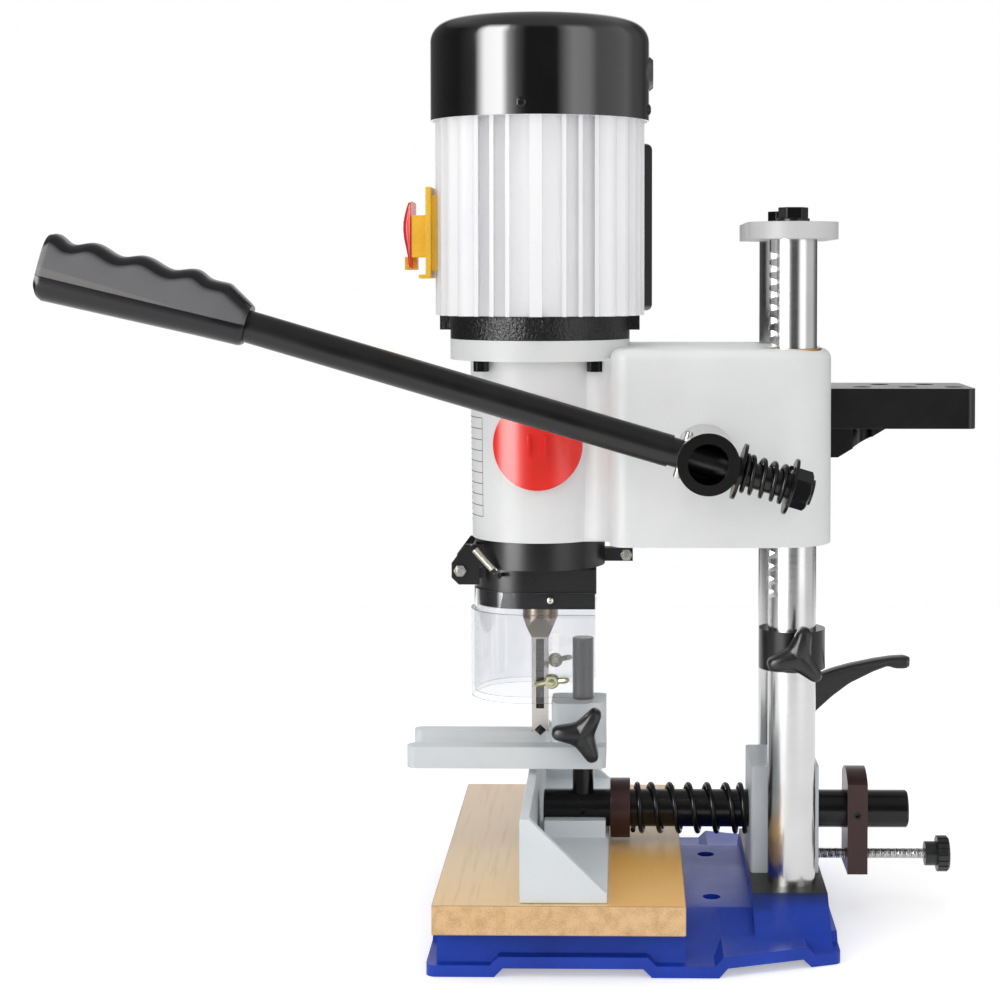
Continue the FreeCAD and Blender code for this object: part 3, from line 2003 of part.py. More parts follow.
washerStart = "-hub_radius - lever_washer_thickness - seat_gap / 2"
node(
    "hub_washer",
    cut(
        "hub_washer",
        cylinder("hub_washer_round", "lever_washer_radius", "lever_washer_thickness", *on_lever(washerStart)),
        cylinder(
            "hub_washer_bore",
            "rod_tail_radius + seat_gap",
            "lever_washer_thickness + 2 * overrun",
            *on_lever(washerStart + " - overrun")
        ),
    ),
)
nutStart = "(-(%s) - lever_nut_thickness)" % washerEnd
node(
    "lever_nut",
    cut(
        "lever_nut",
        fuse(
            "lever_nut_solid",
            hexagon("lever_nut_hexagon", "lever_nut_flats", "lever_nut_thickness", *on_lever(nutStart)),
            cylinder(
                "lever_nut_flange",
                "lever_washer_radius",
                "lever_washer_thickness",
                *on_lever("-(%s)" % washerEnd)
            ),
        ),
        cylinder(
            "lever_nut_bore",
            "rod_tail_radius + fit_gap",
            "lever_nut_thickness + lever_washer_thickness + 2 * overrun",
            *on_lever(nutStart + " - overrun")
        ),
    ),
)
spring(
    "lever_spring",
    read("lever_spring_radius"),
    read("lever_spring_wire"),
    int(read("lever_spring_curls")),
    read("lever_spring_length") - read("seat_gap"),
    on_lever("-(%s) + seat_gap / 2" % springEnd),
)

# Motor: flange, finned body, stator, bearings, rotor, fan, cowl and capacitor box
lugReach = "(flange_radius + motor_lug)"
lugLevel = motorBottom + " - motor_lug_height"
lugs = [
    box(
        "motor_end_lugs",
        "2 * " + lugReach,
        "motor_lug_width",
        "motor_lug_height",
        "%s - %s" % (spindleX, lugReach),
        "-motor_lug_width / 2",
        lugLevel,
    ),
    box(
        "motor_side_lugs",
        "motor_lug_width",
        "2 * " + lugReach,
        "motor_lug_height",
        "%s - motor_lug_width / 2" % spindleX,
        "-" + lugReach,
        lugLevel,
    ),
]
flangeBearingZ = motorBottom + " - bearing_height"
node(
    "motor_flange",
    cut(
        "motor_flange",
        fuse(
            "motor_flange_solid",
            cylinder(
                "motor_flange_round",
                "flange_radius",
                "motor_flange_height",
                spindleX,
                "0",
                flangeTop,
            ),
            *lugs
        ),
        cylinder(
            "motor_flange_shaft_hole",
            "shaft_radius + seat_gap",
            "motor_flange_height + 2 * overrun",
            spindleX,
            "0",
            flangeTop + " - overrun",
        ),
        cylinder(
            "motor_flange_bearing_seat",
            "bearing_radius + fit_gap",
            "bearing_height + overrun",
            spindleX,
            "0",
            flangeBearingZ,
        ),
        *flangeHoles
    ),
)
finParts = [cylinder("motor_core", "motor_core_radius", "motor_height", spindleX, "0", motorBottom)]
for count in range(-3, 4):
    side = (count > 0) - (count < 0)
    offset = "%d * (fin_first_offset + %d * fin_pitch)" % (side, abs(count) - 1)
    width = "fin_pad_width" if count == 0 else "fin_thickness"
    finParts.append(
        box(
            "motor_side_fin_%d" % (count + 3),
            "2 * motor_radius",
            width,
            "motor_height",
            spindleX + " - motor_radius",
            "%s - %s / 2" % (offset, width),
            motorBottom,
        )
    )
    finParts.append(
        box(
            "motor_front_fin_%d" % (count + 3),
            width,
            "2 * motor_radius",
            "motor_height",
            "%s + %s - %s / 2" % (spindleX, offset, width),
            "-motor_radius",
            motorBottom,
        )
    )
for angle in (45, 135, 225, 315):
    finParts.append(
        cylinder(
            "motor_bolt_boss_%d" % angle,
            "motor_boss_radius",
            "motor_height",
            "%s + (motor_radius - motor_boss_radius) * cos(%d)" % (spindleX, angle),
            "(motor_radius - motor_boss_radius) * sin(%d)" % angle,
            motorBottom,
        )
    )
motor = cut(
    "motor_frame",
    common(
        "motor_fins",
        fuse("motor_fin_blocks", *finParts),
        cylinder("motor_outside", "motor_radius", "motor_height", spindleX, "0", motorBottom),
    ),
    cylinder("motor_bore_cut", "motor_bore", "motor_height", spindleX, "0", motorBottom),
)
topShield = turned(
    "motor_top_shield",
    [
        ("bearing_radius + fit_gap", "0"),
        ("shield_radius", "0"),
        ("shield_radius", "shield_height"),
        ("bearing_radius - overrun", "shield_height"),
        ("bearing_radius - overrun", "bearing_height + fit_gap"),
        ("bearing_radius + fit_gap", "bearing_height + fit_gap"),
    ],
    (spindleX, "0", motorTop),
)
node("motor_body", fuse("motor_body", motor, topShield))
statorZ = motorBottom + " + stator_rise"
node(
    "stator",
    cut(
        "stator",
        cylinder("stator_round", "motor_bore - fit_gap", "stator_height", spindleX, "0", statorZ),
        cylinder(
            "stator_bore_cut",
            "stator_bore",
            "stator_height + 2 * overrun",
            spindleX,
            "0",
            statorZ + " - overrun",
        ),
    ),
)
bearings = []
for name, level in (("lower", flangeBearingZ), ("upper", motorTop)):
    blank = cylinder(name + "_bearing_round", "bearing_radius", "bearing_height", spindleX, "0", level)
    bore = cylinder(
        name + "_bearing_bore",
        "shaft_radius + run_gap",
        "bearing_height + 2 * overrun",
        spindleX,
        "0",
        level + " - overrun",
    )
    bearings.append(cut(name + "_bearing", blank, bore))
group("motor_bearings", bearings)
fanBottom = "(%s + fan_rise)" % motorTop
chuckTop = "(head_level + chuck_rise + chuck_height)"
node(
    "rotor",
    fuse(
        "rotor",
        cylinder(
            "rotor_shaft",
            "shaft_radius",
            "%s + fan_height - %s + overrun" % (fanBottom, chuckTop),
            spindleX,
            "0",
            chuckTop + " - overrun",
        ),
        cylinder("rotor_core", "stator_bore - air_gap", "stator_height", spindleX, "0", statorZ),
    ),
)
fanHub = turned(
    "cooling_fan_hub",
    [
        ("shaft_radius + fit_gap", "0"),
        ("fan_radius", "0"),
        ("fan_radius", "fan_plate"),
        ("2 * shaft_radius", "fan_plate"),
        ("2 * shaft_radius", "fan_height"),
        ("shaft_radius + fit_gap", "fan_height"),
    ],
    (spindleX, "0", fanBottom),
)
blades = []
for count in range(int(sizes["fan_blades"])):
    blades.append(
        pad(
            "fan_blade_%d" % count,
            "XZ_Plane",
            [
                ("2 * shaft_radius - fan_blade_thickness", "0"),
                ("fan_radius", "0"),
                ("fan_radius", "fan_height"),
                ("2 * shaft_radius - fan_blade_thickness", "fan_height"),
            ],
            "fan_blade_thickness",
            middle=True,
            where=(spindleX, "0", fanBottom, ((0, 0, 1), 360 * count / sizes["fan_blades"])),
        )
    )
node("cooling_fan", fuse("cooling_fan", fanHub, *blades))

cowl = turned(
    "fan_cowl_shell",
    [
        ("cowl_radius - cowl_wall", "0"),
        ("cowl_radius", "0"),
        ("cowl_radius", "cowl_height"),
        ("0", "cowl_height"),
        ("0", "cowl_height - cowl_wall"),
        ("cowl_radius - cowl_wall", "cowl_height - cowl_wall"),
    ],
)


def rim_of(height):
    """A chooser of the round edges at one height of the body."""
    def chosen(edge):
        box = edge.BoundBox
        return box.ZMax - box.ZMin < 1e-6 and abs(box.ZMax - height) < 1e-6 and edge.Length > 1
    return chosen


dress(cowl, "Fillet", "cowl_edge", rim_of(sizes["cowl_height"]))
dress(cowl, "Fillet", "cowl_edge - cowl_wall", rim_of(sizes["cowl_height"] - sizes["cowl_wall"]))
cowlSlot = pocket(
    cowl,
    "fan_cowl_slot",
    "XY_Plane",
    [
        ("cowl_slot_inner", "-cowl_slot_width / 2"),
        ("cowl_slot_outer", "-cowl_slot_width / 2"),
        ("cowl_slot_outer", "cowl_slot_width / 2"),
        ("cowl_slot_inner", "cowl_slot_width / 2"),
    ],
    "2 * cowl_height + 2 * overrun",
)
polar(cowl, cowlSlot, "cowl_slots")
place(cowl, spindleX, "0", motorTop)
screws = []
screwHoles = []
for count in range(int(sizes["cowl_screws"])):
    angle = 262 + 360 * count / sizes["cowl_screws"]
    facing = FreeCAD.Rotation(FreeCAD.Vector(0, 0, 1), angle) * FreeCAD.Rotation(FreeCAD.Vector(0, 1, 0), 90)
    turn = ((facing.Axis.x, facing.Axis.y, facing.Axis.z), math.degrees(facing.Angle))
    x = spindleX + " + (%s) * cos(" + "%.6g)" % angle
    y = "(%s) * sin(" + "%.6g)" % angle
    z = motorTop + " + cowl_screw_rise"
    shank = "(shield_radius - 2 * overrun)"
    screws.append(
        fuse(
            "cowl_screw_%d" % count,
            cylinder(
                "cowl_screw_head_%d" % count,
                "cowl_screw_radius",
                "cowl_screw_head",
                x % "cowl_radius",
                y % "cowl_radius",
                z,
                turn,
            ),
            cylinder(
                "cowl_screw_shank_%d" % count,
                "cowl_screw_radius / 2",
                "cowl_radius - %s" % shank,
                x % shank,
                y % shank,
                z,
                turn,
            ),
        )
    )
    screwHoles.append(
        cylinder(
            "cowl_screw_hole_%d" % count,
            "cowl_screw_radius / 2 + fit_gap",
            "cowl_radius - %s + 2 * overrun" % shank,
            x % (shank + " - overrun"),
            y % (shank + " - overrun"),
            z,
            turn,
        )
    )
gland = cone(
    "cowl_gland",
    "gland_radius",
    "gland_radius * cos(45)",
    "gland_proud + cowl_wall",
    "%s + cowl_radius - cowl_wall" % spindleX,
    "0",
    motorTop + " + gland_rise",
    alongX,
)
node("fan_cowl", cut("fan_cowl", fuse("fan_cowl_solid", cowl, gland), fuse("cowl_screw_holes", *screwHoles)))
motorScrewed = cut("motor_body_drilled", nodes["motor_body"], doc.getObject("cowl_screw_holes"))
nodes["motor_body"].Label = "motor_body_undrilled"
node("motor_body", motorScrewed)
group("cowl_screws", screws)

# Capacitor box on the far rear side, hollowed to sit on the fins
boxBlank = pad(
    "capacitor_box_blank",
    "XY_Plane",
    [
        ("motor_core_radius", "-box_width / 2"),
        ("box_reach", "-box_width / 2"),
        ("box_reach", "box_width / 2"),
        ("motor_core_radius", "box_width / 2"),
    ],
    "box_height",
)
boxOutside = sizes["motor_radius"] + sizes["box_edge"]
dress(boxBlank, "Fillet", "box_edge", lambda edge: edge.CenterOfMass.x > boxOutside)
boxTurn = ((0, 0, 1), sizes["box_angle"])
place(boxBlank, spindleX, "0", motorBottom + " + box_rise", boxTurn)
node(
    "capacitor_box",
    cut(
        "capacitor_box",
        boxBlank,
        cylinder(
            "capacitor_box_seat",
            "motor_radius + fit_gap",
            "box_height + 2 * overrun",
            spindleX,
            "0",
            motorBottom + " + box_rise - overrun",
        ),
    ),
)

# Switch: plate with a saddle on the fins, box, flip cover and two buttons
plateBack = "(switch_plate_face - switch_plate_thickness)"
saddleDepth = "switch_saddle_depth"
switchPlate = fuse(
    "switch_plate_solid",
    wide_box(
        "switch_plate_flat",
        "switch_plate_thickness",
        "switch_plate_half_width",
        "switch_plate_height",
        "-switch_plate_face",
        "switch_plate_level",
    ),
    wide_box(
        "switch_plate_saddle",
        saddleDepth,
        "switch_plate_half_width - switch_saddle_inset",
        "switch_plate_height - 2 * switch_saddle_inset",
        "-" + plateBack,
        "switch_plate_level + switch_saddle_inset",
    ),
    wide_box(
        "switch_plate_lip",
        "switch_lip",
        "switch_plate_half_width",
        "switch_lip_height",
        "-switch_plate_face - switch_lip",
        "switch_plate_level",
    ),
)
node(
    "switch_plate",
    cut(
        "switch_plate",
        switchPlate,
        cylinder(
            "switch_plate_seat",
            "motor_radius + fit_gap",
            "switch_plate_height + 2 * overrun",
            spindleX,
            "0",
            "switch_plate_level - overrun",
        ),
    ),
)
hingeX = "(-switch_box_face - hinge_setback)"
hingeZ = "(cover_level - hinge_drop)"
buttonZ = "(switch_box_level + switch_box_height / 2)"
buttonHoles = []
for name, side in (("start", -1), ("stop", 1)):
    y = "%d * button_spacing / 2" % side
    buttonHoles.append(
        cylinder(
            name + "_button_well",
            "button_radius + seat_gap",
            "button_depth + overrun",
            "-switch_box_face - overrun",
            y,
            buttonZ,
            alongX,
        )
    )
    node(
        name + "_button",
        cylinder(
            name + "_button_round",
            "button_radius",
            "button_proud + button_depth - button_travel - seat_gap",
            "-switch_box_face - button_proud",
            y,
            buttonZ,
            alongX,
        ),
    )
node(
    "switch_box",
    cut(
        "switch_box",
        fuse(
            "switch_box_solid",
            wide_box(
                "switch_box_case",
                "switch_box_face - switch_plate_face",
                "switch_box_half_width",
                "switch_box_height",
                "-switch_box_face",
                "switch_box_level",
            ),
            wide_box(
                "switch_box_lug",
                "hinge_setback + hinge_eye_radius + overrun",
                "hinge_lug_half_width",
                "switch_box_level - %s + hinge_eye_radius + seat_gap" % hingeZ,
                hingeX + " - hinge_eye_radius",
                hingeZ + " - hinge_eye_radius",
            ),
            cylinder(
                "switch_box_pin",
                "hinge_radius",
                "2 * hinge_half_length",
                hingeX,
                "-hinge_half_length",
                hingeZ,
                alongY,
            ),
        ),
        *buttonHoles
    ),
)
coverFront = "(switch_box_face + seat_gap + cover_depth)"
coverSolid = fuse(
    "switch_cover_solid",
    wide_box(
        "switch_cover_case",
        "cover_depth",
        "cover_half_width",
        "cover_height",
        "-" + coverFront,
        "cover_level",
    ),
    cylinder(
        "switch_cover_eyes",
        "hinge_eye_radius",
        "2 * hinge_half_length - 2 * seat_gap",
        hingeX,
        "-hinge_half_length + seat_gap",
        hingeZ,
        alongY,
    ),
    pad(
        "switch_cover_latch",
        "XZ_Plane",
        [
            ("0", "0"),
            ("-cover_latch", "0"),
            ("-cover_depth", "cover_latch / 2"),
            ("-cover_latch / 2", "cover_latch"),
            ("0", "cover_latch"),
        ],
        "cover_half_width",
        middle=True,
        where=("-switch_box_face - seat_gap", "0", "cover_level + cover_height - cover_latch / 4"),
    ),
)
coverPlain = cut(
    "switch_cover_hollowed",
    coverSolid,
    wide_box(
        "switch_cover_hollow",
        "cover_depth - cover_wall + overrun",
        "cover_half_width - cover_wall",
        "cover_height - 2 * cover_wall - hinge_eye_radius",
        "-%s + cover_wall" % coverFront,
        "cover_level + cover_wall + hinge_eye_radius",
    ),
    wide_box(
        "switch_cover_lug_gap",
        "2 * cover_depth + 2 * overrun",
        "hinge_lug_half_width + seat_gap",
        "switch_box_level - cover_level + hinge_eye_radius + overrun",
        "-%s - overrun" % coverFront,
        hingeZ + " - hinge_eye_radius - seat_gap",
    ),
    cylinder(
        "switch_cover_pin_hole",
        "hinge_radius + run_gap",
        "2 * hinge_half_length + 2 * overrun",
        hingeX,
        "-hinge_half_length - overrun",
        hingeZ,
        alongY,
    ),
)
node("switch_cover", coverPlain)

# Guard clamp ring on the spigot: split rear ears and the two pivot plates in front
ringBottom = "(%s - ring_height)" % housingBottom
pivotX = "(-pivot_setback)"
pivotZ = "(head_level - pivot_drop)"
ringParts = [cylinder("clamp_ring_round", "ring_radius", "ring_height - seat_gap", spindleX, "0", ringBottom)]
for name, y in (("near", "-ear_gap / 2 - ear_thickness"), ("far", "ear_gap / 2")):
    ringParts.append(
        box(
            "clamp_ring_%s_ear" % name,
            "ear_reach + shield_wall",
            "ear_thickness",
            "ear_height",
            "%s + ring_radius - shield_wall" % spindleX,
            y,
            ringBottom + " + ear_rise",
        )
    )
platePoints = [
    ("-bracket_root", "-bracket_drop"),
    ("-bracket_root", "pivot_radius + seat_gap"),
    ("-bracket_root + 2 * bracket_plate", "pivot_radius + seat_gap"),
    ("-bracket_root + 2 * bracket_plate", "bracket_peak"),
    ("-bracket_root - (bracket_nose - bracket_root) / 2", "bracket_peak"),
    ("-bracket_nose", "bracket_drop / 2"),
    ("-bracket_nose", "-bracket_drop / 2"),
    ("-bracket_nose + bracket_drop / 2", "-bracket_drop"),
]
for name, y in (("near", "-bracket_gap - bracket_plate / 2"), ("far", "bracket_gap + bracket_plate / 2")):
    ringParts.append(
        pad(
            "pivot_%s_plate" % name,
            "XZ_Plane",
            [(x, "ring_height / 2 + (%s)" % z) for x, z in platePoints],
            "bracket_plate",
            middle=True,
            where=("0", y, pivotZ + " - ring_height / 2"),
        )
    )
ringParts.append(
    wide_box(
        "pivot_plate_bridge",
        "bracket_plate",
        "bracket_gap + bracket_plate",
        "bracket_peak - pivot_radius - guard_ear_radius",
        "-bracket_root - 2 * bracket_plate",
        pivotZ + " + pivot_radius + guard_ear_radius",
    )
)
ringParts.append(
    cylinder(
        "guard_upper_peg",
        "guard_peg_radius",
        "guard_upper_peg_length",
        "-guard_spring_upper_setback - guard_peg_setback * cos(45)",
        "-bracket_gap - bracket_plate / 2",
        "head_level - guard_spring_upper_drop + guard_peg_setback * cos(45)",
        towardsMinusY,
    )
)
earBoltX = "(%s + ring_radius + ear_reach - ear_height / 2)" % spindleX
earBoltZ = "(%s + ear_rise + ear_height / 2)" % ringBottom
pivotHole = cylinder(
    "pivot_plate_hole",
    "pivot_radius + fit_gap",
    "2 * bracket_gap + 4 * overrun",
    pivotX,
    "-bracket_gap - 2 * overrun",
    pivotZ,
    alongY,
)
node(
    "guard_clamp_ring",
    cut(
        "guard_clamp_ring",
        fuse("clamp_ring_solid", *ringParts),
        cylinder(
            "clamp_ring_bore",
            "spigot_radius + fit_gap",
            "ring_height + 2 * overrun",
            spindleX,
            "0",
            ringBottom + " - overrun",
        ),
        wide_box(
            "clamp_ring_split",
            "ear_reach + ring_radius",
            "ear_gap / 2",
            "ring_height + 2 * overrun",
            spindleX,
            ringBottom + " - overrun",
        ),
        cylinder(
            "ear_bolt_hole",
            "pivot_radius + fit_gap",
            "ear_gap + 2 * ear_thickness + 2 * overrun",
            earBoltX,
            "-ear_gap / 2 - ear_thickness - overrun",
            earBoltZ,
            alongY,
        ),
        pivotHole,
    ),
)


def guard_bolt(name, x, z, half_span):
    """A bolt along Y with a hexagon at each end."""
    reach = "(%s + guard_nut_thickness)" % half_span
    return fuse(
        name,
        cylinder(
            name + "_shank",
            "pivot_radius",
            "2 * %s + pivot_radius" % reach,
            x,
            "-%s - pivot_radius / 2" % reach,
            z,
            alongY,
        ),
        hexagon(name + "_nut", "guard_nut_flats", "guard_nut_thickness", x, "-%s" % reach, z, alongY),
        hexagon(name + "_head", "guard_nut_flats", "guard_nut_thickness", x, half_span, z, alongY),
    )


group(
    "guard_nuts",
    [
        guard_bolt("guard_pivot_bolt", pivotX, pivotZ, "(bracket_gap + bracket_plate)"),
        guard_bolt("guard_clamp_bolt", earBoltX, earBoltZ, "(ear_gap / 2 + ear_thickness)"),
    ],
)

# Lower guard ring, the two clear shields and the wing nuts


def u_shell(name, radius, wall, top, height):
    """An upright U, round in front and open behind, from its outer radius and wall."""
    level = "%s - (%s)" % (top, height)
    outer = fuse(
        name + "_outer",
        cylinder(name + "_outer_round", radius, height, "-guard_centre", "0", level),
        wide_box(name + "_outer_sides", "guard_centre - guard_rear", radius, height, "-guard_centre", level),
    )
    inner_radius = "%s - %s" % (radius, wall)
    tall = "%s + 2 * overrun" % height
    inner = fuse(
        name + "_inner",
        cylinder(name + "_inner_round", inner_radius, tall, "-guard_centre", "0", level + " - overrun"),
        wide_box(
            name + "_inner_sides",
            "guard_centre - guard_rear + overrun",
            inner_radius,
            tall,
            "-guard_centre",
            level + " - overrun",
        ),
    )
    return cut(name, outer, inner)


earSpan = "(bracket_gap - seat_gap)"
guardEars = []
for name, side in (("near", -1), ("far", 1)):
    y = "%d * (%s - guard_ear_thickness / 2)" % (side, earSpan)
    ear = pad(
        "guard_%s_ear" % name,
        "XZ_Plane",
        [
            ("0", "-guard_ear_radius"),
            ("pivot_setback - guard_centre - guard_radius * cos(60) - guard_wall", "-guard_ear_radius"),
            ("pivot_setback - guard_centre - guard_radius * cos(60) - guard_wall", "pivot_radius / 2"),
            ("0", "pivot_radius / 2"),
        ],
        "guard_ear_thickness",
        middle=True,
        where=(pivotX, y, pivotZ),
    )
    knuckle = cylinder(
        "guard_%s_knuckle" % name,
        "guard_ear_radius",
        "guard_ear_thickness",
        pivotX,
        "%s - guard_ear_thickness / 2" % y,
        pivotZ,
        alongY,
    )
    guardEars += [ear, knuckle]
guardShell = u_shell("guard_ring_shell", "guard_radius", "guard_wall", guardTop, "guard_height")
guardHole = cylinder(
    "guard_pivot_hole",
    "pivot_radius + run_gap",
    "2 * bracket_gap + 2 * overrun",
    pivotX,
    "-bracket_gap - overrun",
    pivotZ,
    alongY,
)
studX = "(-stud_setback)"
studZ = "(head_level - stud_drop)"
guardPeg = cylinder(
    "guard_lower_peg",
    "guard_peg_radius",
    "guard_lower_peg_length",
    "-guard_spring_lower_setback + guard_peg_setback * cos(45)",
    "-(guard_radius - guard_wall) * cos(30)",
    "head_level - guard_spring_lower_drop - guard_peg_setback * cos(45)",
    towardsMinusY,
)
node("guard_ring", cut("guard_ring", fuse("guard_ring_solid", guardShell, guardPeg, *guardEars), guardHole))
innerRadius = "(guard_radius + fit_gap + shield_wall)"
outerRadius = "(guard_radius + fit_gap + 2 * shield_wall + outer_shield_gap)"
innerShell = u_shell(
    "inner_shield_shell",
    innerRadius,
    "shield_wall",
    "(head_level - inner_shield_top)",
    "(inner_shield_bottom - inner_shield_top)",
)
slotSpan = "(2 * %s + 2 * overrun)" % outerRadius
studSlot = fuse(
    "stud_slot",
    box(
        "stud_slot_middle",
        "2 * stud_radius + 2 * run_gap",
        slotSpan,
        "shield_travel",
        studX + " - stud_radius - run_gap",
        "-%s / 2" % slotSpan,
        studZ,
    ),
    cylinder("stud_slot_low", "stud_radius + run_gap", slotSpan, studX, "-%s / 2" % slotSpan, studZ, alongY),
    cylinder(
        "stud_slot_high",
        "stud_radius + run_gap",
        slotSpan,
        studX,
        "-%s / 2" % slotSpan,
        studZ + " + shield_travel",
        alongY,
    ),
)
node("inner_shield", cut("inner_shield", innerShell, studSlot))
outerShell = u_shell(
    "outer_shield_shell",
    outerRadius,
    "shield_wall",
    "(head_level - outer_shield_top)",
    "(outer_shield_bottom - outer_shield_top)",
)
shieldBottom = "(head_level - outer_shield_bottom)"
cornerBlock = wide_box(
    "shield_corner_block",
    "shield_corner + overrun",
    "%s + overrun" % outerRadius,
    "shield_corner + overrun",
    "-guard_rear - shield_corner",
    shieldBottom + " - overrun",
)
cornerRound = cylinder(
    "shield_corner_round",
    "shield_corner",
    "2 * %s + 4 * overrun" % outerRadius,
    "-guard_rear - shield_corner",
    "-%s - 2 * overrun" % outerRadius,
    shieldBottom + " + shield_corner",
    alongY,
)
studHole = cylinder(
    "shield_stud_hole",
    "stud_radius + fit_gap",
    slotSpan,
    studX,
    "-%s / 2" % slotSpan,
    studZ,
    alongY,
)
node(
    "outer_shield",
    cut("outer_shield", outerShell, cut("shield_corner_waste", cornerBlock, cornerRound), studHole),
)


def wing_nut(name, side):
    """A stud through both shields with a wing nut outside and a flat head inside."""
    outside = "%d * (%s + fit_gap)" % (side, outerRadius)
    turn = alongY if side > 0 else towardsMinusY
    inside = "%d * (guard_radius - guard_wall)" % side
    pieces = [
        cylinder(
            name + "_stud",
            "stud_radius",
            "%s - guard_radius + guard_wall + wing_hub_height + stud_radius" % outerRadius,
            studX,
            inside,
            studZ,
            turn,
        ),
        cylinder(
            name + "_head",
            "2 * stud_radius",
            "guard_wall - fit_gap",
            studX,
            inside,
            studZ,
            turn,
        ),
        cone(
            name + "_hub",
            "wing_hub_radius",
            "wing_hub_radius - stud_radius / 2",
            "wing_hub_height",
            studX,
            outside,
            studZ,
            turn,
        ),
    ]
    for wing, angle in (("left", 197), ("right", 5)):
        where = (studX, outside, studZ, turn)
        blade = pad(
            "%s_%s_wing" % (name, wing),
            "XZ_Plane",
            [
                ("0", "0"),
                ("wing_reach - stud_radius", "wing_height / 2"),
                ("wing_reach", "wing_height"),
                ("wing_reach - stud_radius", "wing_height + stud_radius"),
                ("0", "wing_height"),
            ],
            "wing_thickness",
            middle=True,
        )
        first = FreeCAD.Rotation(FreeCAD.Vector(*turn[0]), turn[1])
        both = first * FreeCAD.Rotation(FreeCAD.Vector(0, 0, 1), -side * angle)
        where = (studX, outside, studZ, ((both.Axis.x, both.Axis.y, both.Axis.z), math.degrees(both.Angle)))
        pieces.append(place(blade, *where))
    return fuse(name, *pieces)


group("wing_nuts", [wing_nut("near_wing_nut", -1), wing_nut("far_wing_nut", 1)])

upperHook = [read("guard_spring_upper_" + word) for word in ("setback", "offset", "drop")]
lowerHook = [read("guard_spring_lower_" + word) for word in ("setback", "offset", "drop")]
springRun = FreeCAD.Vector(*lowerHook) - FreeCAD.Vector(*upperHook)
springLean = FreeCAD.Rotation(FreeCAD.Vector(0, 0, 1), springRun)
spring(
    "guard_spring",
    read("guard_spring_radius") + read("guard_spring_wire") / 2,
    read("guard_spring_wire"),
    int(read("guard_spring_curls")),
    springRun.Length,
    (
        "-guard_spring_lower_setback",
        "-guard_spring_lower_offset",
        "head_level - guard_spring_lower_drop",
        ((springLean.Axis.x, springLean.Axis.y, springLean.Axis.z), math.degrees(springLean.Angle)),
    ),
    closed_share=1,
)

# Chisel, its bushing, the drill chuck and the auger bit
bushingBottom = "(head_level - bushing_drop - bushing_taper / 2)"


def square_outline(name, half, level):
    sketch = flat_outline(name, [(side + half, up + half) for side, up in ("--", "+-", "++", "-+")], level)
    return place(sketch, spindleX, "0", level)


flare = doc.addObject("Part::Loft", "chisel_bushing_flare")
flare.Sections = [
    square_outline("bushing_small_square", "chisel_width / 2", bushingBottom),
    square_outline("bushing_large_square", "(bushing_radius + fit_gap)", bushingBottom + " + bushing_taper"),
]
flare.Solid = True
flare.Ruled = True
bushingRound = cylinder(
    "chisel_bushing_round",
    "bushing_radius",
    "bushing_taper",
    spindleX,
    "0",
    bushingBottom,
)
node(
    "chisel_bushing",
    cut(
        "chisel_bushing",
        fuse(
            "chisel_bushing_solid",
            common("chisel_bushing_foot", flare, bushingRound),
            cylinder(
                "chisel_bushing_collar",
                "bushing_radius",
                "bushing_height - bushing_taper",
                spindleX,
                "0",
                bushingBottom + " + bushing_taper",
            ),
        ),
        cylinder(
            "chisel_bushing_bore",
            "chisel_bore + run_gap",
            "bushing_height + 2 * overrun",
            spindleX,
            "0",
            bushingBottom + " - overrun",
        ),
    ),
)
chiselTop = "(%s - fit_gap)" % bushingBottom
chiselBlank = wide_box(
    "chisel_blank",
    "chisel_width",
    "chisel_width / 2",
    "%s - %s" % (chiselTop, chisellingZ),
    "%s - chisel_width / 2" % spindleX,
    chisellingZ,
)
chiselHollow = cone(
    "chisel_hollow_ground",
    "chisel_width / 2 * cos(20)",
    "chisel_bore",
    "chisel_hollow",
    spindleX,
    "0",
    chisellingZ + " - fit_gap",
)
chiselTips = []
for name, turn_angle in (("front", 0), ("side", 90)):
    chiselTips.append(
        pad(
            "chisel_%s_tips" % name,
            "XZ_Plane",
            [
                ("-chisel_width / 2 + fit_gap", "-overrun"),
                ("chisel_width / 2 - fit_gap", "-overrun"),
                ("chisel_width / 2 - fit_gap", "0"),
                ("0", "chisel_hollow"),
                ("-chisel_width / 2 + fit_gap", "0"),
            ],
            "chisel_width + 2 * overrun",
            middle=True,
            where=(spindleX, "0", chisellingZ, ((0, 0, 1), turn_angle)),
        )
    )
node(
    "hollow_chisel",
    cut(
        "hollow_chisel",
        chiselBlank,
        cylinder(
            "chisel_bore_cut",
            "chisel_bore",
            "chisel_drop",
            spindleX,
            "0",
            chisellingZ + " - overrun",
        ),
        chiselHollow,
        box(
            "chisel_slot",
            "chisel_slot_width",
            "chisel_width / 2 + overrun",
            "chisel_slot_height - overrun",
            "%s - chisel_slot_width / 2" % spindleX,
            "-chisel_width / 2 - overrun",
            chisellingZ + " + chisel_slot_rise",
        ),
        *chiselTips
    ),
)
augerTop = "(head_level + chuck_rise + chuck_nose_height)"
augerTip = "(%s - auger_tip)" % chisellingZ
node(
    "auger_bit",
    fuse(
        "auger_bit",
        cylinder(
            "auger_shank",
            "auger_radius",
            "%s - %s" % (augerTop, chisellingZ),
            spindleX,
            "0",
            chisellingZ,
        ),
        cone("auger_point", "0", "auger_radius", "auger_tip", spindleX, "0", augerTip),
    ),
)
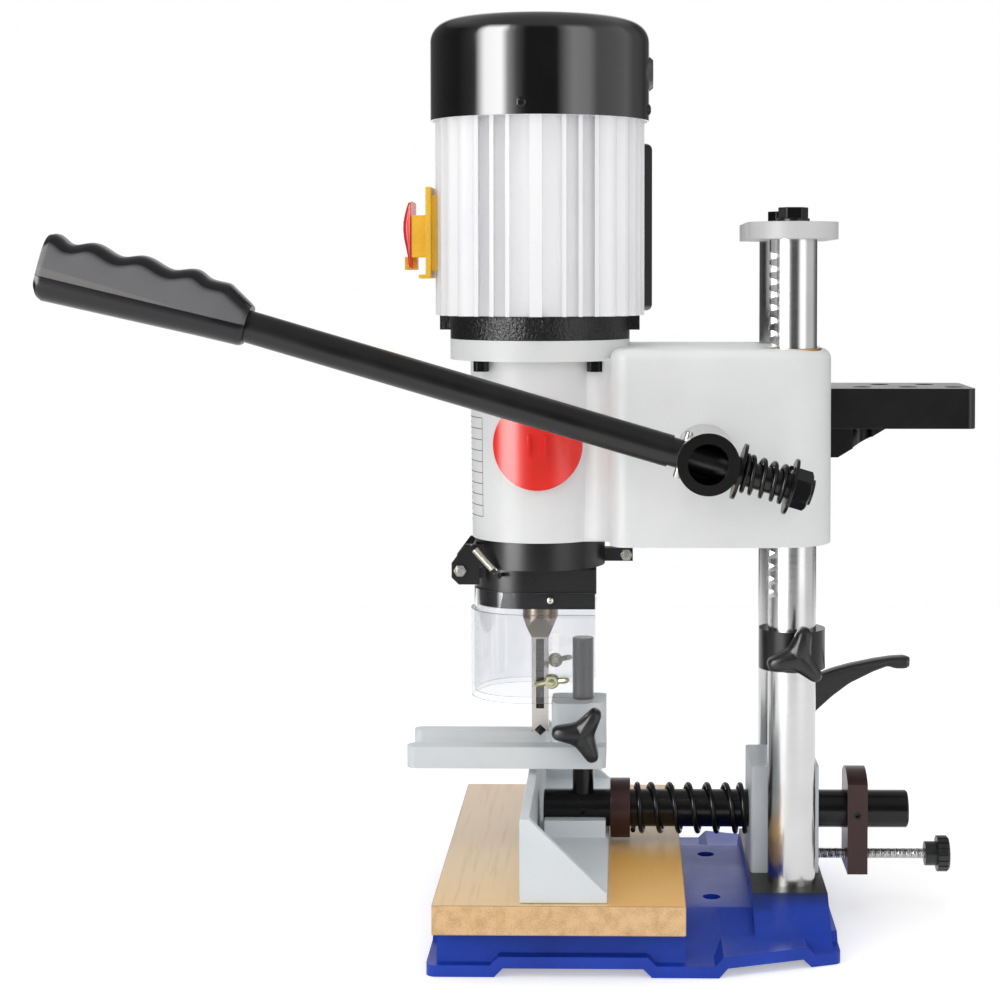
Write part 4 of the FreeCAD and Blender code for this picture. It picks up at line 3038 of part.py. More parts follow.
chuck = turned(
    "drill_chuck_body",
    [
        ("auger_radius + fit_gap", "0"),
        ("chuck_nose_radius - stud_radius", "0"),
        ("chuck_nose_radius", "chuck_nose_height / 2"),
        ("chuck_radius", "chuck_nose_height"),
        ("chuck_radius", "chuck_height - stud_radius"),
        ("chuck_radius - stud_radius", "chuck_height"),
        ("shaft_radius + fit_gap", "chuck_height"),
        ("shaft_radius + fit_gap", "chuck_height - overrun - fit_gap"),
        ("0", "chuck_height - overrun - fit_gap"),
        ("0", "chuck_nose_height + fit_gap"),
        ("auger_radius + fit_gap", "chuck_nose_height + fit_gap"),
    ],
    (spindleX, "0", "head_level + chuck_rise"),
)
node("drill_chuck", chuck)

# Chisel holder on the rear of the head, with a row of storage holes
holderBlank = pad(
    "holder_block",
    "XY_Plane",
    [
        ("arm_rear", "-holder_half_width"),
        ("arm_rear + holder_length", "-holder_half_width"),
        ("arm_rear + holder_length", "holder_half_width"),
        ("arm_rear", "holder_half_width"),
    ],
    "holder_thickness",
    where=("0", "0", "holder_top - holder_thickness"),
)
holderRear = sizes["arm_rear"] + sizes["holder_corner"]
dress(
    holderBlank,
    "Fillet",
    "holder_corner",
    lambda edge: lengthwise((0, 0, 1))(edge) and edge.CenterOfMass.x > holderRear,
)
holderGusset = pad(
    "holder_gusset",
    "XZ_Plane",
    [
        ("arm_rear", "0"),
        ("arm_rear + holder_gusset_foot", "0"),
        ("arm_rear + holder_gusset_length", "holder_gusset_depth"),
        ("arm_rear + holder_gusset_length", "holder_gusset_depth + holder_thickness / 2"),
        ("arm_rear", "holder_gusset_depth + holder_thickness / 2"),
    ],
    "2 * holder_gusset_half_width",
    middle=True,
    where=("0", "0", "holder_top - holder_thickness - holder_gusset_depth"),
)
holderHoles = []
for count in range(int(sizes["holder_holes"])):
    side = 1 if count % 2 else -1
    holderHoles.append(
        cylinder(
            "holder_hole_%d" % count,
            "holder_hole_radius",
            "holder_thickness + holder_gusset_depth + 2 * overrun",
            "arm_rear + holder_first_hole + %d * holder_hole_pitch" % count,
            "%d * holder_hole_offset" % side,
            "holder_top - holder_thickness - holder_gusset_depth - overrun",
        )
    )
node("chisel_holder", cut("chisel_holder", fuse("holder_solid", holderBlank, holderGusset), *holderHoles))


# Red access covers: a disc bent to the housing, a plug ring in the window and two grip ridges


def access_cover(label, side):
    span = "2 * housing_radius"
    turn = alongY if side > 0 else towardsMinusY
    disc = cylinder(label + "_disc", "cover_plate_radius", span, spindleX, "0", windowZ, turn)
    skin = cut(
        label + "_skin",
        cylinder(
            label + "_skin_outer",
            "housing_radius + seat_gap / 2 + cover_plate_thickness",
            "2 * cover_plate_radius + 2 * overrun",
            spindleX,
            "0",
            windowZ + " - cover_plate_radius - overrun",
        ),
        cylinder(
            label + "_skin_inner",
            "housing_radius + seat_gap / 2",
            "2 * cover_plate_radius + 4 * overrun",
            spindleX,
            "0",
            windowZ + " - cover_plate_radius - 2 * overrun",
        ),
    )
    plate = common(label + "_plate", disc, skin)
    plug_round = cylinder(
        label + "_plug_round",
        "window_radius - seat_gap",
        "cover_plug_depth + window_radius / 2",
        spindleX,
        "%d * (chamber_radius + seat_gap)" % side,
        windowZ,
        turn,
    )
    plug_bore = cylinder(
        label + "_plug_bore",
        "window_radius - seat_gap - cover_plug_wall",
        span,
        spindleX,
        "0",
        windowZ,
        turn,
    )
    outside = cut(
        label + "_outside",
        cylinder(
            label + "_outside_round",
            "2 * housing_radius",
            "2 * cover_plate_radius",
            spindleX,
            "0",
            windowZ + " - cover_plate_radius",
        ),
        cylinder(
            label + "_outside_core",
            "housing_radius + seat_gap",
            "2 * cover_plate_radius + 2 * overrun",
            spindleX,
            "0",
            windowZ + " - cover_plate_radius - overrun",
        ),
    )
    plug = cut(label + "_plug", plug_round, plug_bore, outside)
    ridges = []
    reach = "(housing_radius + cover_plate_thickness + cover_grip_proud)"
    ridgeStarts = {
        "front": "-cover_grip_gap / 2 - cover_grip_thickness",
        "rear": "cover_grip_gap / 2",
    }
    for name, shift in ridgeStarts.items():
        low = "-%s" % reach if side < 0 else "(housing_radius * cos(20))"
        ridges.append(
            box(
                "%s_%s_ridge" % (label, name),
                "cover_grip_thickness",
                "%s - housing_radius * cos(20)" % reach,
                "cover_grip_height",
                "%s + (%s)" % (spindleX, shift),
                low,
                windowZ + " - cover_grip_height / 2",
            )
        )
    core = cylinder(
        label + "_core",
        "housing_radius + seat_gap / 2",
        "2 * cover_plate_radius",
        spindleX,
        "0",
        windowZ + " - cover_plate_radius",
    )
    grips = cut(label + "_grips", fuse(label + "_ridges", *ridges), core)
    return node(label, fuse(label, plate, plug, grips))


access_cover("near_cover", -1)
access_cover("far_cover", 1)

# Everything is rebuilt once more, checked, and written out
doc.recompute()
failed = [item.Name for item in doc.Objects if "Invalid" in item.State or "Error" in item.State]
if failed:
    raise SystemExit("features failed: " + ", ".join(failed))
for label, item in nodes.items():
    shape = item.Shape
    if shape.isNull() or not shape.isValid() or not shape.Solids:
        raise SystemExit("bad shape: " + label)
for label, item in nodes.items():
    item.Shape.exportStep("parts/%s.step" % label)
print("%d nodes" % len(nodes))
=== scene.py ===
import bpy
import bmesh
import json
import math
from mathutils import Matrix, Vector


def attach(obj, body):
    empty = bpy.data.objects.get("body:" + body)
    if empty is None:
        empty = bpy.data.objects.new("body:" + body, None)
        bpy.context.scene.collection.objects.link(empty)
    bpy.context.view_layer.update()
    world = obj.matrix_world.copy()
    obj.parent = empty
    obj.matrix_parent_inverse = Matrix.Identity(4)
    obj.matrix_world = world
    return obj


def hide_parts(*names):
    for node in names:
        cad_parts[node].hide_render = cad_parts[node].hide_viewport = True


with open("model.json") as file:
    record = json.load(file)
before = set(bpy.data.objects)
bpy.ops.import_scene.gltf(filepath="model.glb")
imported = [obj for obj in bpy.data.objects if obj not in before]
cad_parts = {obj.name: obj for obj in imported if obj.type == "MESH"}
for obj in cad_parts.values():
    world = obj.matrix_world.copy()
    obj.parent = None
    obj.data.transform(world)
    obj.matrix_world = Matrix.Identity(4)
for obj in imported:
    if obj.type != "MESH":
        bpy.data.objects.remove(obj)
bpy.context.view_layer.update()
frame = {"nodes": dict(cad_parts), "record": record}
print("frame loaded:", len(frame["nodes"]), "parts")

mm = 0.001
scene = bpy.context.scene
scene.view_settings.view_transform = "Standard"


# Small tools: colour, nodes and material parts
def hexColour(text):
    parts = [int(text[i:i + 2], 16) / 255 for i in (1, 3, 5)]
    return tuple(c / 12.92 if c <= 0.04045 else ((c + 0.055) / 1.055) ** 2.4 for c in parts) + (1.0,)


def addNode(tree, kind, inputs=None, **settings):
    node = tree.nodes.new(kind)
    for name, value in settings.items():
        setattr(node, name, value)
    for name, value in (inputs or {}).items():
        if isinstance(value, bpy.types.NodeSocket):
            tree.links.new(value, node.inputs[name])
        else:
            node.inputs[name].default_value = value
    return node


def newMaterial(name, **sockets):
    material = bpy.data.materials.new(name)
    material.use_nodes = True
    shader = material.node_tree.nodes["Principled BSDF"]
    for socket, value in sockets.items():
        shader.inputs[socket.replace("_", " ")].default_value = value
    return material, material.node_tree, shader


def objectSpot(tree, scale=(1, 1, 1)):
    coordinates = addNode(tree, "ShaderNodeTexCoord")
    mapping = addNode(tree, "ShaderNodeMapping", {"Vector": coordinates.outputs["Object"], "Scale": scale})
    return mapping.outputs["Vector"]


def mixColours(tree, factor, first, second):
    mix = addNode(tree, "ShaderNodeMix", {"Factor": factor}, data_type="RGBA")
    for socket, value in ((mix.inputs[6], first), (mix.inputs[7], second)):
        if isinstance(value, bpy.types.NodeSocket):
            tree.links.new(value, socket)
        else:
            socket.default_value = value
    return mix.outputs[2]


def spread(tree, value, low, high, toLow=0.0, toHigh=1.0):
    node = addNode(tree, "ShaderNodeMapRange", {"Value": value, "From Min": low, "From Max": high,
                                                 "To Min": toLow,
                                                "To Max": toHigh})
    return node.outputs["Result"]


def calculate(tree, operation, first, second=0.0):
    return addNode(tree, "ShaderNodeMath", {0: first, 1: second}, operation=operation).outputs[0]


def noise(tree, grainMm, detail=2.0):
    return addNode(tree, "ShaderNodeTexNoise", {"Vector": objectSpot(tree), "Scale": 1000 / grainMm,
                                                "Detail": detail}).outputs["Fac"]


def bumpFrom(tree, shader, height, strength, distanceMm):
    bump = addNode(tree, "ShaderNodeBump", {"Height": height, "Strength": strength,
                                            "Distance": distanceMm * mm})
    tree.links.new(bump.outputs["Normal"], shader.inputs["Normal"])


# How much a face looks up, for what lies on top faces only
def facingUp(tree, low=0.5, high=0.8):
    normal = addNode(tree, "ShaderNodeTexCoord").outputs["Normal"]
    return spread(tree, addNode(tree, "ShaderNodeSeparateXYZ", {"Vector": normal}).outputs["Z"], low, high)


# The lever's own directions: along the rod from its hub, and up square to it
leverHub = Vector((-7.3, -150.0, 352.0))
leverTilt = math.radians(16.4)
leverAlong = Vector((-math.cos(leverTilt), 0, math.sin(leverTilt)))
leverUp = Vector((math.sin(leverTilt), 0, math.cos(leverTilt)))


# Sprayed enamel on cast iron: hides the sand grain but keeps its slow waves, with a soft shine.
def enamelOnCastIron(name, colour, shadeColour, roughness=0.42, waveMm=7.0, waveDepth=0.1, shine=0.35):
    material, tree, shader = newMaterial(name, IOR=1.5, Specular_IOR_Level=shine)
    slow = noise(tree, 60, 3.0)
    tree.links.new(mixColours(tree, spread(tree, slow, 0.35, 0.7), hexColour(colour), hexColour(shadeColour)),
                   shader.inputs["Base Color"])
    tree.links.new(spread(tree, slow, 0.3, 0.7, roughness - 0.03, roughness + 0.04), shader.inputs["Roughness"])
    bumpFrom(tree, shader, noise(tree, waveMm, 4.0), waveDepth, 0.5)
    return material


# Blue enamel on the base: bright on the walls, darker navy painted shade on the flat top of the deck, bare iron
# where the pad is machined.
def blueBase(name):
    base = {"wall": "#1B43B6", "wallDark": "#16379E", "top": "#1E2A58", "iron": "#4C4A46", "padLevelMm": 36.1,
            "deckLevelMm": 27.0}
    material, tree, shader = newMaterial(name, IOR=1.5, Specular_IOR_Level=0.3)
    slow = noise(tree, 50, 4.0)
    wall = mixColours(tree, spread(tree, slow, 0.35, 0.7), hexColour(base["wall"]), hexColour(base["wallDark"]))
    height = addNode(tree, "ShaderNodeSeparateXYZ", {"Vector": objectSpot(tree)}).outputs["Z"]
    # Painted shade: the top colour darkens flat faces on the deck above its level
    shadedDeck = calculate(tree, "MULTIPLY", calculate(tree, "GREATER_THAN", height, base["deckLevelMm"] * mm),
                     facingUp(tree, 0.975, 0.995))
    painted = mixColours(tree, shadedDeck, wall, hexColour(base["top"]))
    bare = calculate(tree, "MULTIPLY", calculate(tree, "GREATER_THAN", height, base["padLevelMm"] * mm),
                     facingUp(tree, 0.9, 0.95))
    tree.links.new(mixColours(tree, bare, painted, hexColour(base["iron"])), shader.inputs["Base Color"])
    tree.links.new(calculate(tree, "MULTIPLY", bare, 0.85), shader.inputs["Metallic"])
    tree.links.new(spread(tree, slow, 0.3, 0.7, 0.3, 0.4), shader.inputs["Roughness"])
    bumpFrom(tree, shader, noise(tree, 3.5, 4.0), 0.22, 0.5)
    return material


# Bare steel worked round or along an axis: bright metal whose fine lines stretch the highlights.
def workedSteel(name, colour, axis, roughness=0.2, lineMm=0.5, streakMm=300.0, depth=0.02):
    material, tree, shader = newMaterial(name, Metallic=1.0)
    scale = [1000 / streakMm] * 3
    scale["xyz".index(axis)] = 1000 / lineMm
    lines = addNode(tree, "ShaderNodeTexNoise", {"Vector": objectSpot(tree, scale=tuple(scale)), "Scale": 1.0,
                                                 "Detail": 2.0}).outputs["Fac"]
    tree.links.new(spread(tree, lines, 0.3, 0.7, roughness - 0.03, roughness + 0.05),
                   shader.inputs["Roughness"])
    slow = noise(tree, 45, 2.0)
    low = tuple(c * 0.9 for c in hexColour(colour)[:3]) + (1.0,)
    tree.links.new(mixColours(tree, spread(tree, slow, 0.35, 0.65), hexColour(colour), low),
                   shader.inputs["Base Color"])
    bumpFrom(tree, shader, lines, depth, 0.05)
    return material


# Turned steel hub: bright rings on its side, black paint on its front face, and black painted shade inside its
# bore.
def paintedHub(name):
    hub = {"steel": "#D2D2D0", "paint": "#0B0B0C", "frontMm": -170.8, "shadedBoreMm": 14.6, "levelMm": 352.0,
           "middleMm": -7.3}
    material, tree, shader = newMaterial(name)
    spot = addNode(tree, "ShaderNodeSeparateXYZ", {"Vector": objectSpot(tree)})
    rings = addNode(tree, "ShaderNodeTexNoise", {"Vector": objectSpot(tree, scale=(4, 1000 / 0.9, 4)),
                                                 "Scale": 1.0,
                                                 "Detail": 2.0}).outputs["Fac"]
    front = calculate(tree, "LESS_THAN", spot.outputs["Y"], hub["frontMm"] * mm)
    across = calculate(tree, "SUBTRACT", spot.outputs["X"], hub["middleMm"] * mm)
    up = calculate(tree, "SUBTRACT", spot.outputs["Z"], hub["levelMm"] * mm)
    radius = calculate(tree, "SQRT", calculate(tree, "ADD", calculate(tree, "MULTIPLY", across, across),
                                               calculate(tree, "MULTIPLY", up, up)))
    # Black paint on the front face, and black painted shade inside the bore
    black = calculate(tree, "MAXIMUM", front, calculate(tree, "LESS_THAN", radius, hub["shadedBoreMm"] * mm))
    tree.links.new(mixColours(tree, black, hexColour(hub["steel"]), hexColour(hub["paint"])),
                   shader.inputs["Base Color"])
    tree.links.new(calculate(tree, "SUBTRACT", 1.0, black), shader.inputs["Metallic"])
    tree.links.new(spread(tree, rings, 0.3, 0.7, 0.18, 0.34), shader.inputs["Roughness"])
    bumpFrom(tree, shader, rings, 0.12, 0.1)
    return material


# Powder coat, paint or oxide on steel: dark, even, with a fine pebble that breaks the highlight up.
def darkCoat(name, colour, roughness, pebbleMm=0.9, depth=0.05, metallic=0.0, coat=0.0, lift=1.3):
    material, tree, shader = newMaterial(name, Metallic=metallic, Coat_Weight=coat, Coat_Roughness=0.08)
    slow = noise(tree, 30, 2.0)
    lighter = tuple(c * lift + 0.001 for c in hexColour(colour)[:3]) + (1.0,)
    tree.links.new(mixColours(tree, spread(tree, slow, 0.4, 0.8), hexColour(colour), lighter),
                   shader.inputs["Base Color"])
    tree.links.new(spread(tree, slow, 0.3, 0.7, max(roughness - 0.03, 0.03), roughness + 0.03),
                   shader.inputs["Roughness"])
    bumpFrom(tree, shader, noise(tree, pebbleMm), depth, 0.3)
    return material


# Injection moulded plastic: one colour, a light spark-eroded texture, a wide soft highlight.
def mouldedPlastic(name, colour, roughness, textureMm=0.6, depth=0.03, glow=0.0):
    material, tree, shader = newMaterial(name, IOR=1.53)
    grain = noise(tree, textureMm, 1.0)
    darker = tuple(c * 0.9 for c in hexColour(colour)[:3]) + (1.0,)
    tree.links.new(mixColours(tree, spread(tree, noise(tree, 25), 0.35, 0.7), hexColour(colour), darker),
                   shader.inputs["Base Color"])
    tree.links.new(spread(tree, grain, 0.3, 0.7, roughness - 0.03, roughness + 0.03),
                   shader.inputs["Roughness"])
    bumpFrom(tree, shader, grain, depth, 0.2)
    shader.inputs["Subsurface Weight"].default_value = glow
    shader.inputs["Subsurface Radius"].default_value = (0.004, 0.002, 0.001)
    return material


# Moulded vinyl grip: flat cheeks with a fine matt grain, a paler wedge along them, and a darker smooth belly.
def gripMoulding(name):
    skin = {"cheek": "#58585A", "wedge": "#666564", "belly": "#0A0B0E", "creaseMm": 0.2, "fromMm": 345.0,
            "fall": -0.0512, "wedgeFromMm": 372.0, "wedgeMm": 1.2, "wedgeRise": 0.052, "fadeMm": 20}
    material, tree, shader = newMaterial(name, IOR=1.5)
    coordinates = addNode(tree, "ShaderNodeTexCoord")
    lengths = []
    for way in (leverAlong, leverUp):
        dot = addNode(tree, "ShaderNodeVectorMath", {0: coordinates.outputs["Object"], 1: way / mm},
                      operation="DOT_PRODUCT")
        lengths.append(calculate(tree, "SUBTRACT", dot.outputs["Value"], leverHub.dot(way)))
    distance, height = lengths
    crease = calculate(tree, "ADD", calculate(tree, "MULTIPLY", distance, skin["fall"]),
                       skin["creaseMm"] - skin["fall"] * skin["fromMm"])
    above = calculate(tree, "SUBTRACT", height, crease)
    side = addNode(tree, "ShaderNodeSeparateXYZ", {"Vector": coordinates.outputs["Normal"]}).outputs["Y"]
    flat = spread(tree, calculate(tree, "ABSOLUTE", side), 0.86, 0.97)
    cheek = calculate(tree, "MULTIPLY", flat, calculate(tree, "GREATER_THAN", above, 0.0))
    pastStart = calculate(tree, "SUBTRACT", distance, skin["wedgeFromMm"])
    wide = calculate(tree, "ADD", calculate(tree, "MULTIPLY", pastStart, skin["wedgeRise"]), skin["wedgeMm"])
    wedge = calculate(tree, "MULTIPLY", cheek, calculate(tree, "LESS_THAN", above, wide))
    wedge = calculate(tree, "MULTIPLY", wedge, spread(tree, pastStart, 0, skin["fadeMm"]))
    colour = mixColours(tree, cheek, hexColour(skin["belly"]), hexColour(skin["cheek"]))
    tree.links.new(mixColours(tree, wedge, colour, hexColour(skin["wedge"])), shader.inputs["Base Color"])
    tree.links.new(spread(tree, cheek, 0, 1, 0.26, 0.55), shader.inputs["Roughness"])
    bumpFrom(tree, shader, noise(tree, 0.8, 1.0), 0.06, 0.2)
    return material


# Maple-faced fibreboard: pale figured face whose lines run from front to back, with a golden painted reflection
# on its near right part; mottled sides with a painted shadow line along the top arris and darker along the
# bottom arris.
def facedBoard(name):
    board = {"face": "#E6CDB0", "faceDark": "#D2AE80", "near": "#F0CD96", "reflectedHoney": "#EEB24A", "side": "#E4BC8A",
             "sideDark": "#BC9260", "arris": "#7E5A32", "lineMm": 4.2, "reflectionFromMm": -74, "levelMm": 50.55,
             "footMm": 31.3}
    material, tree, shader = newMaterial(name, Roughness=0.4, IOR=1.5, Coat_Weight=0.12, Coat_Roughness=0.3)
    place = addNode(tree, "ShaderNodeSeparateXYZ", {"Vector": objectSpot(tree)})
    warp = addNode(tree, "ShaderNodeTexNoise", {"Vector": objectSpot(tree, scale=(1, 0.3, 1)), "Scale": 16.0,
                                                "Detail": 2.0}).outputs["Color"]
    lineSpot = objectSpot(tree, scale=(1000 / board["lineMm"], 10.0, 1000 / board["lineMm"]))
    shifted = addNode(tree, "ShaderNodeMix", {"Factor": 0.1}, data_type="VECTOR")
    tree.links.new(lineSpot, shifted.inputs[4])
    tree.links.new(warp, shifted.inputs[5])
    line = addNode(tree, "ShaderNodeTexNoise", {"Vector": shifted.outputs[1], "Scale": 1.0, "Detail": 4.0,
                                                "Roughness": 0.6}).outputs["Fac"]
    warm = mixColours(tree, spread(tree, place.outputs["Y"], 0.02, -0.17), hexColour(board["face"]),
                      hexColour(board["near"]))
    pale = mixColours(tree, spread(tree, line, 0.52, 0.78, 0.0, 0.75), warm, hexColour(board["faceDark"]))
    # Painted reflection: a golden strip on the near right part of the face
    paintedReflection = calculate(tree, "MULTIPLY", spread(tree, place.outputs["X"], board["reflectionFromMm"] * mm - 0.004,
                                                 board["reflectionFromMm"] * mm + 0.002),
                        spread(tree, place.outputs["Y"], 0.0, -0.05, 0.2, 0.85))
    face = mixColours(tree, paintedReflection, pale, hexColour(board["reflectedHoney"]))
    fine = noise(tree, 0.9, 3.0)
    patch = noise(tree, 9, 3.0)
    side = mixColours(tree, spread(tree, calculate(tree, "ADD", fine, patch), 0.88, 1.35),
                      hexColour(board["side"]), hexColour(board["sideDark"]))
    level, foot = board["levelMm"] * mm, board["footMm"] * mm
    # A painted shadow line along the top arris, and darker along the bottom arris
    edges = calculate(tree, "ADD", spread(tree, place.outputs["Z"], level, level + 0.3 * mm),
                      spread(tree, place.outputs["Z"], foot, foot - 0.8 * mm))
    side = mixColours(tree, calculate(tree, "MULTIPLY", edges, 0.8), side, hexColour(board["arris"]))
    tree.links.new(mixColours(tree, facingUp(tree, 0.8, 0.95), side, face), shader.inputs["Base Color"])
    bumpFrom(tree, shader, line, 0.05, 0.2)
    return material


# Clear polycarbonate sheet: see-through, greyer where more of it is looked through, with sawn matt edges
# painted grey as painted shade for the dark lines refraction draws along them.
def clearSheet(name):
    material, tree, shader = newMaterial(name, IOR=1.4, Specular_IOR_Level=0.15)
    normal = addNode(tree, "ShaderNodeTexCoord").outputs["Normal"]
    sawn = addNode(tree, "ShaderNodeSeparateXYZ", {"Vector": normal})
    # Sawn edges painted grey and made less clear, as painted shade for the dark lines refraction draws along
    # them
    edge = spread(tree, calculate(tree, "ABSOLUTE", sawn.outputs["Z"]), 0.8, 0.95)
    tree.links.new(mixColours(tree, edge, hexColour("#FDFDFE"), hexColour("#8D959B")),
                   shader.inputs["Base Color"])
    tree.links.new(spread(tree, edge, 0, 1, 1.0, 0.25), shader.inputs["Transmission Weight"])
    tree.links.new(spread(tree, noise(tree, 20), 0.3, 0.8, 0.0, 0.03), shader.inputs["Roughness"])
    depth = addNode(tree, "ShaderNodeVolumeAbsorption", {"Color": hexColour("#E8EAEB"), "Density": 170.0})
    tree.links.new(depth.outputs[0], tree.nodes["Material Output"].inputs["Volume"])
    return material


materials = {
    "whiteEnamel": enamelOnCastIron("white enamel on cast iron", "#E9EAEA", "#E2E3E3"),
    "finEnamel": enamelOnCastIron("white enamel on cast aluminium", "#FAFAFB", "#F6F6F8",
                                  waveMm=3.0, shine=0.15),
    "blueEnamel": blueBase("blue enamel on cast iron"),
    "greyEnamel": enamelOnCastIron("light grey enamel on cast iron", "#DDE2E5", "#D5DBDF"),
    "plateEnamel": enamelOnCastIron("pale enamel on steel plate", "#CECECE", "#C7C7C7"),
    "blockEnamel": enamelOnCastIron("mid grey enamel on cast iron", "#C4CACE", "#BBC1C5"),
    "roughCast": darkCoat("black paint on sand casting", "#101010", 0.3, pebbleMm=2.0, depth=2.2, metallic=0.2),
    "columnSteel": workedSteel("ground steel bar", "#CFCFCF", "z", roughness=0.2, lineMm=0.5, depth=0.0),
    "hubSteel": paintedHub("turned steel with black paint"),
    "bareSteel": workedSteel("bright steel", "#C9C9C8", "x", roughness=0.25),
    "toolSteel": workedSteel("polished tool steel", "#BDB8B3", "z", roughness=0.14),
    "bushSteel": workedSteel("heat-coloured turned steel", "#8F8378", "z", roughness=0.2, lineMm=0.8,
                             depth=0.05),
    "augerSteel": workedSteel("dark oiled steel", "#3B3836", "z", roughness=0.25),
    "zincSteel": workedSteel("zinc plated steel", "#D6D6CE", "y", roughness=0.22, lineMm=1.2),
    "yellowZinc": workedSteel("yellow passivated zinc", "#C9C8A8", "y", roughness=0.28, lineMm=1.2),
    "nickelWire": workedSteel("nickel plated spring wire", "#D9D6CC", "z", roughness=0.2, lineMm=1.0),
    "laminated": workedSteel("laminated motor steel", "#7E7F82", "z", roughness=0.4),
    "bronze": workedSteel("sintered bronze", "#B08D57", "z", roughness=0.42),
    "blackCoat": darkCoat("black powder coat", "#0B0B0C", 0.3),
    "blackOxide": darkCoat("black oxide on steel", "#0F0F0F", 0.24, metallic=0.3),
    "glossBlack": darkCoat("gloss black stove enamel", "#060606", 0.12, pebbleMm=9.0, depth=0.01, coat=1.0),
    "brownOxide": darkCoat("brown phosphate on steel", "#3A2424", 0.3, metallic=0.35),
    "knobPlastic": mouldedPlastic("black moulded nylon", "#161718", 0.34),
    "gripVinyl": gripMoulding("black moulded vinyl"),
    "boxPlastic": mouldedPlastic("black moulded ABS", "#0C0C0D", 0.34),
    "redPlastic": mouldedPlastic("red moulded ABS", "#DC2226", 0.24, glow=0.04),
    "hatchPlastic": mouldedPlastic("red translucent moulded polypropylene", "#F03028", 0.2, glow=0.1),
    "yellowPlastic": mouldedPlastic("yellow moulded ABS", "#F7C234", 0.28, glow=0.04),
    "greenPlastic": mouldedPlastic("green moulded ABS", "#127A35", 0.28),
    "scaleInk": mouldedPlastic("printed scale ink", "#3C3C3E", 0.5),
    "board": facedBoard("maple faced fibreboard"),
    "clear": clearSheet("clear polycarbonate sheet"),
}
print("materials:", len(materials))

nodeMaterials = {
    "base_casting": "blueEnamel", "work_board": "board", "guide_block": "blockEnamel",
    "near_column": "columnSteel", "far_column": "columnSteel", "column_top_plate": "plateEnamel",
    "column_bolts": "blackOxide", "depth_collar": "blackOxide", "depth_knob": "knobPlastic",
    "clamp_lever": "knobPlastic", "guide_bar": "blackOxide", "front_collar": "brownOxide",
    "rear_bracket": "brownOxide", "set_screws": "blackOxide", "fence": "greyEnamel", "post": "blackOxide",
    "fence_spring": "blackOxide", "adjusting_screw": "bareSteel", "adjusting_knob": "knobPlastic",
    "hold_down": "greyEnamel", "hold_down_knob": "knobPlastic", "head_casting": "whiteEnamel",
    "column_bushes": "bronze", "motor_flange": "roughCast", "flange_bolts": "blackOxide",
    "motor_body": "finEnamel", "stator": "laminated", "motor_bearings": "toolSteel", "fan_cowl": "glossBlack",
    "cowl_screws": "blackOxide", "capacitor_box": "boxPlastic", "switch_plate": "yellowPlastic",
    "switch_box": "yellowPlastic", "guard_clamp_ring": "blackCoat", "guard_nuts": "zincSteel",
    "chisel_holder": "blackCoat", "chisel_bushing": "bushSteel", "hollow_chisel": "toolSteel",
    "rotor": "laminated",
    "cooling_fan": "boxPlastic", "drill_chuck": "toolSteel", "auger_bit": "augerSteel",
    "pinion_shaft": "hubSteel",
    "pinion_gear": "bareSteel", "lever_rod": "blackCoat", "lever_grip": "gripVinyl", "lever_pin": "bareSteel",
    "lever_spring": "blackOxide", "hub_washer": "blackOxide", "lever_nut": "blackOxide",
    "switch_cover": "redPlastic", "start_button": "greenPlastic", "stop_button": "redPlastic",
    "guard_ring": "blackCoat", "inner_shield": "clear", "guard_spring": "nickelWire", "outer_shield": "clear",
    "wing_nuts": "yellowZinc", "near_cover": "hatchPlastic", "far_cover": "hatchPlastic",
}
bodyOf = {node: body for body, members in frame["record"]["behaviour"]["bodies"].items() for node in members}


def paint(thing, name):
    thing.data.materials.clear()
    thing.data.materials.append(materials[name])


def smooth(mesh, angle=32):
    mesh.shade_smooth()
    mesh.set_sharp_from_angle(angle=math.radians(angle))


def pieceFrom(name, vertices, faces):
    mesh = bpy.data.meshes.new(name)
    mesh.from_pydata([tuple(spot) for spot in vertices], [], faces)
    shape = bmesh.new()
    shape.from_mesh(mesh)
    bmesh.ops.remove_doubles(shape, verts=shape.verts, dist=1e-6)
    bmesh.ops.recalc_face_normals(shape, faces=shape.faces)
    shape.to_mesh(mesh)
    shape.free()
    piece = bpy.data.objects.new(name, mesh)
    scene.collection.objects.link(piece)
    return piece


# Skins a row of rings that all have the same number of points, with both ends closed.
def loft(name, rings, closed=False):
    count = len(rings[0])
    vertices = [spot for ring in rings for spot in ring]
    faces = []
    for level in range(len(rings) - (0 if closed else 1)):
        after = (level + 1) % len(rings)
        for i in range(count):
            j = (i + 1) % count
            faces.append((level * count + i, level * count + j, after * count + j, after * count + i))
    if not closed:
        faces += [tuple(range(count)), tuple(range((len(rings) - 1) * count, len(rings) * count))]
    return pieceFrom(name, vertices, faces)


# Turns a profile of (radius, distance) pairs in mm round an axis. A closed profile makes a ring.
def turned(name, profile, origin, axis, steps=64, closed=False):
    along = Vector(axis).normalized()
    side = along.orthogonal().normalized()
    other = along.cross(side)
    middle = Vector(origin) * mm
    rings = []
    for radius, distance in profile:
        rings.append([middle + along * distance * mm
                      + (side * math.cos(turn) + other * math.sin(turn)) * radius * mm
                      for turn in (2 * math.pi * i / steps for i in range(steps))])
    return loft(name, rings, closed)


def joined(name, *parts):
    mesh = bpy.data.meshes.new(name)
    shape = bmesh.new()
    for part in parts:
        shape.from_mesh(part.data)
        bpy.data.objects.remove(part)
    shape.to_mesh(mesh)
    shape.free()
    piece = bpy.data.objects.new(name, mesh)
    scene.collection.objects.link(piece)
    return piece


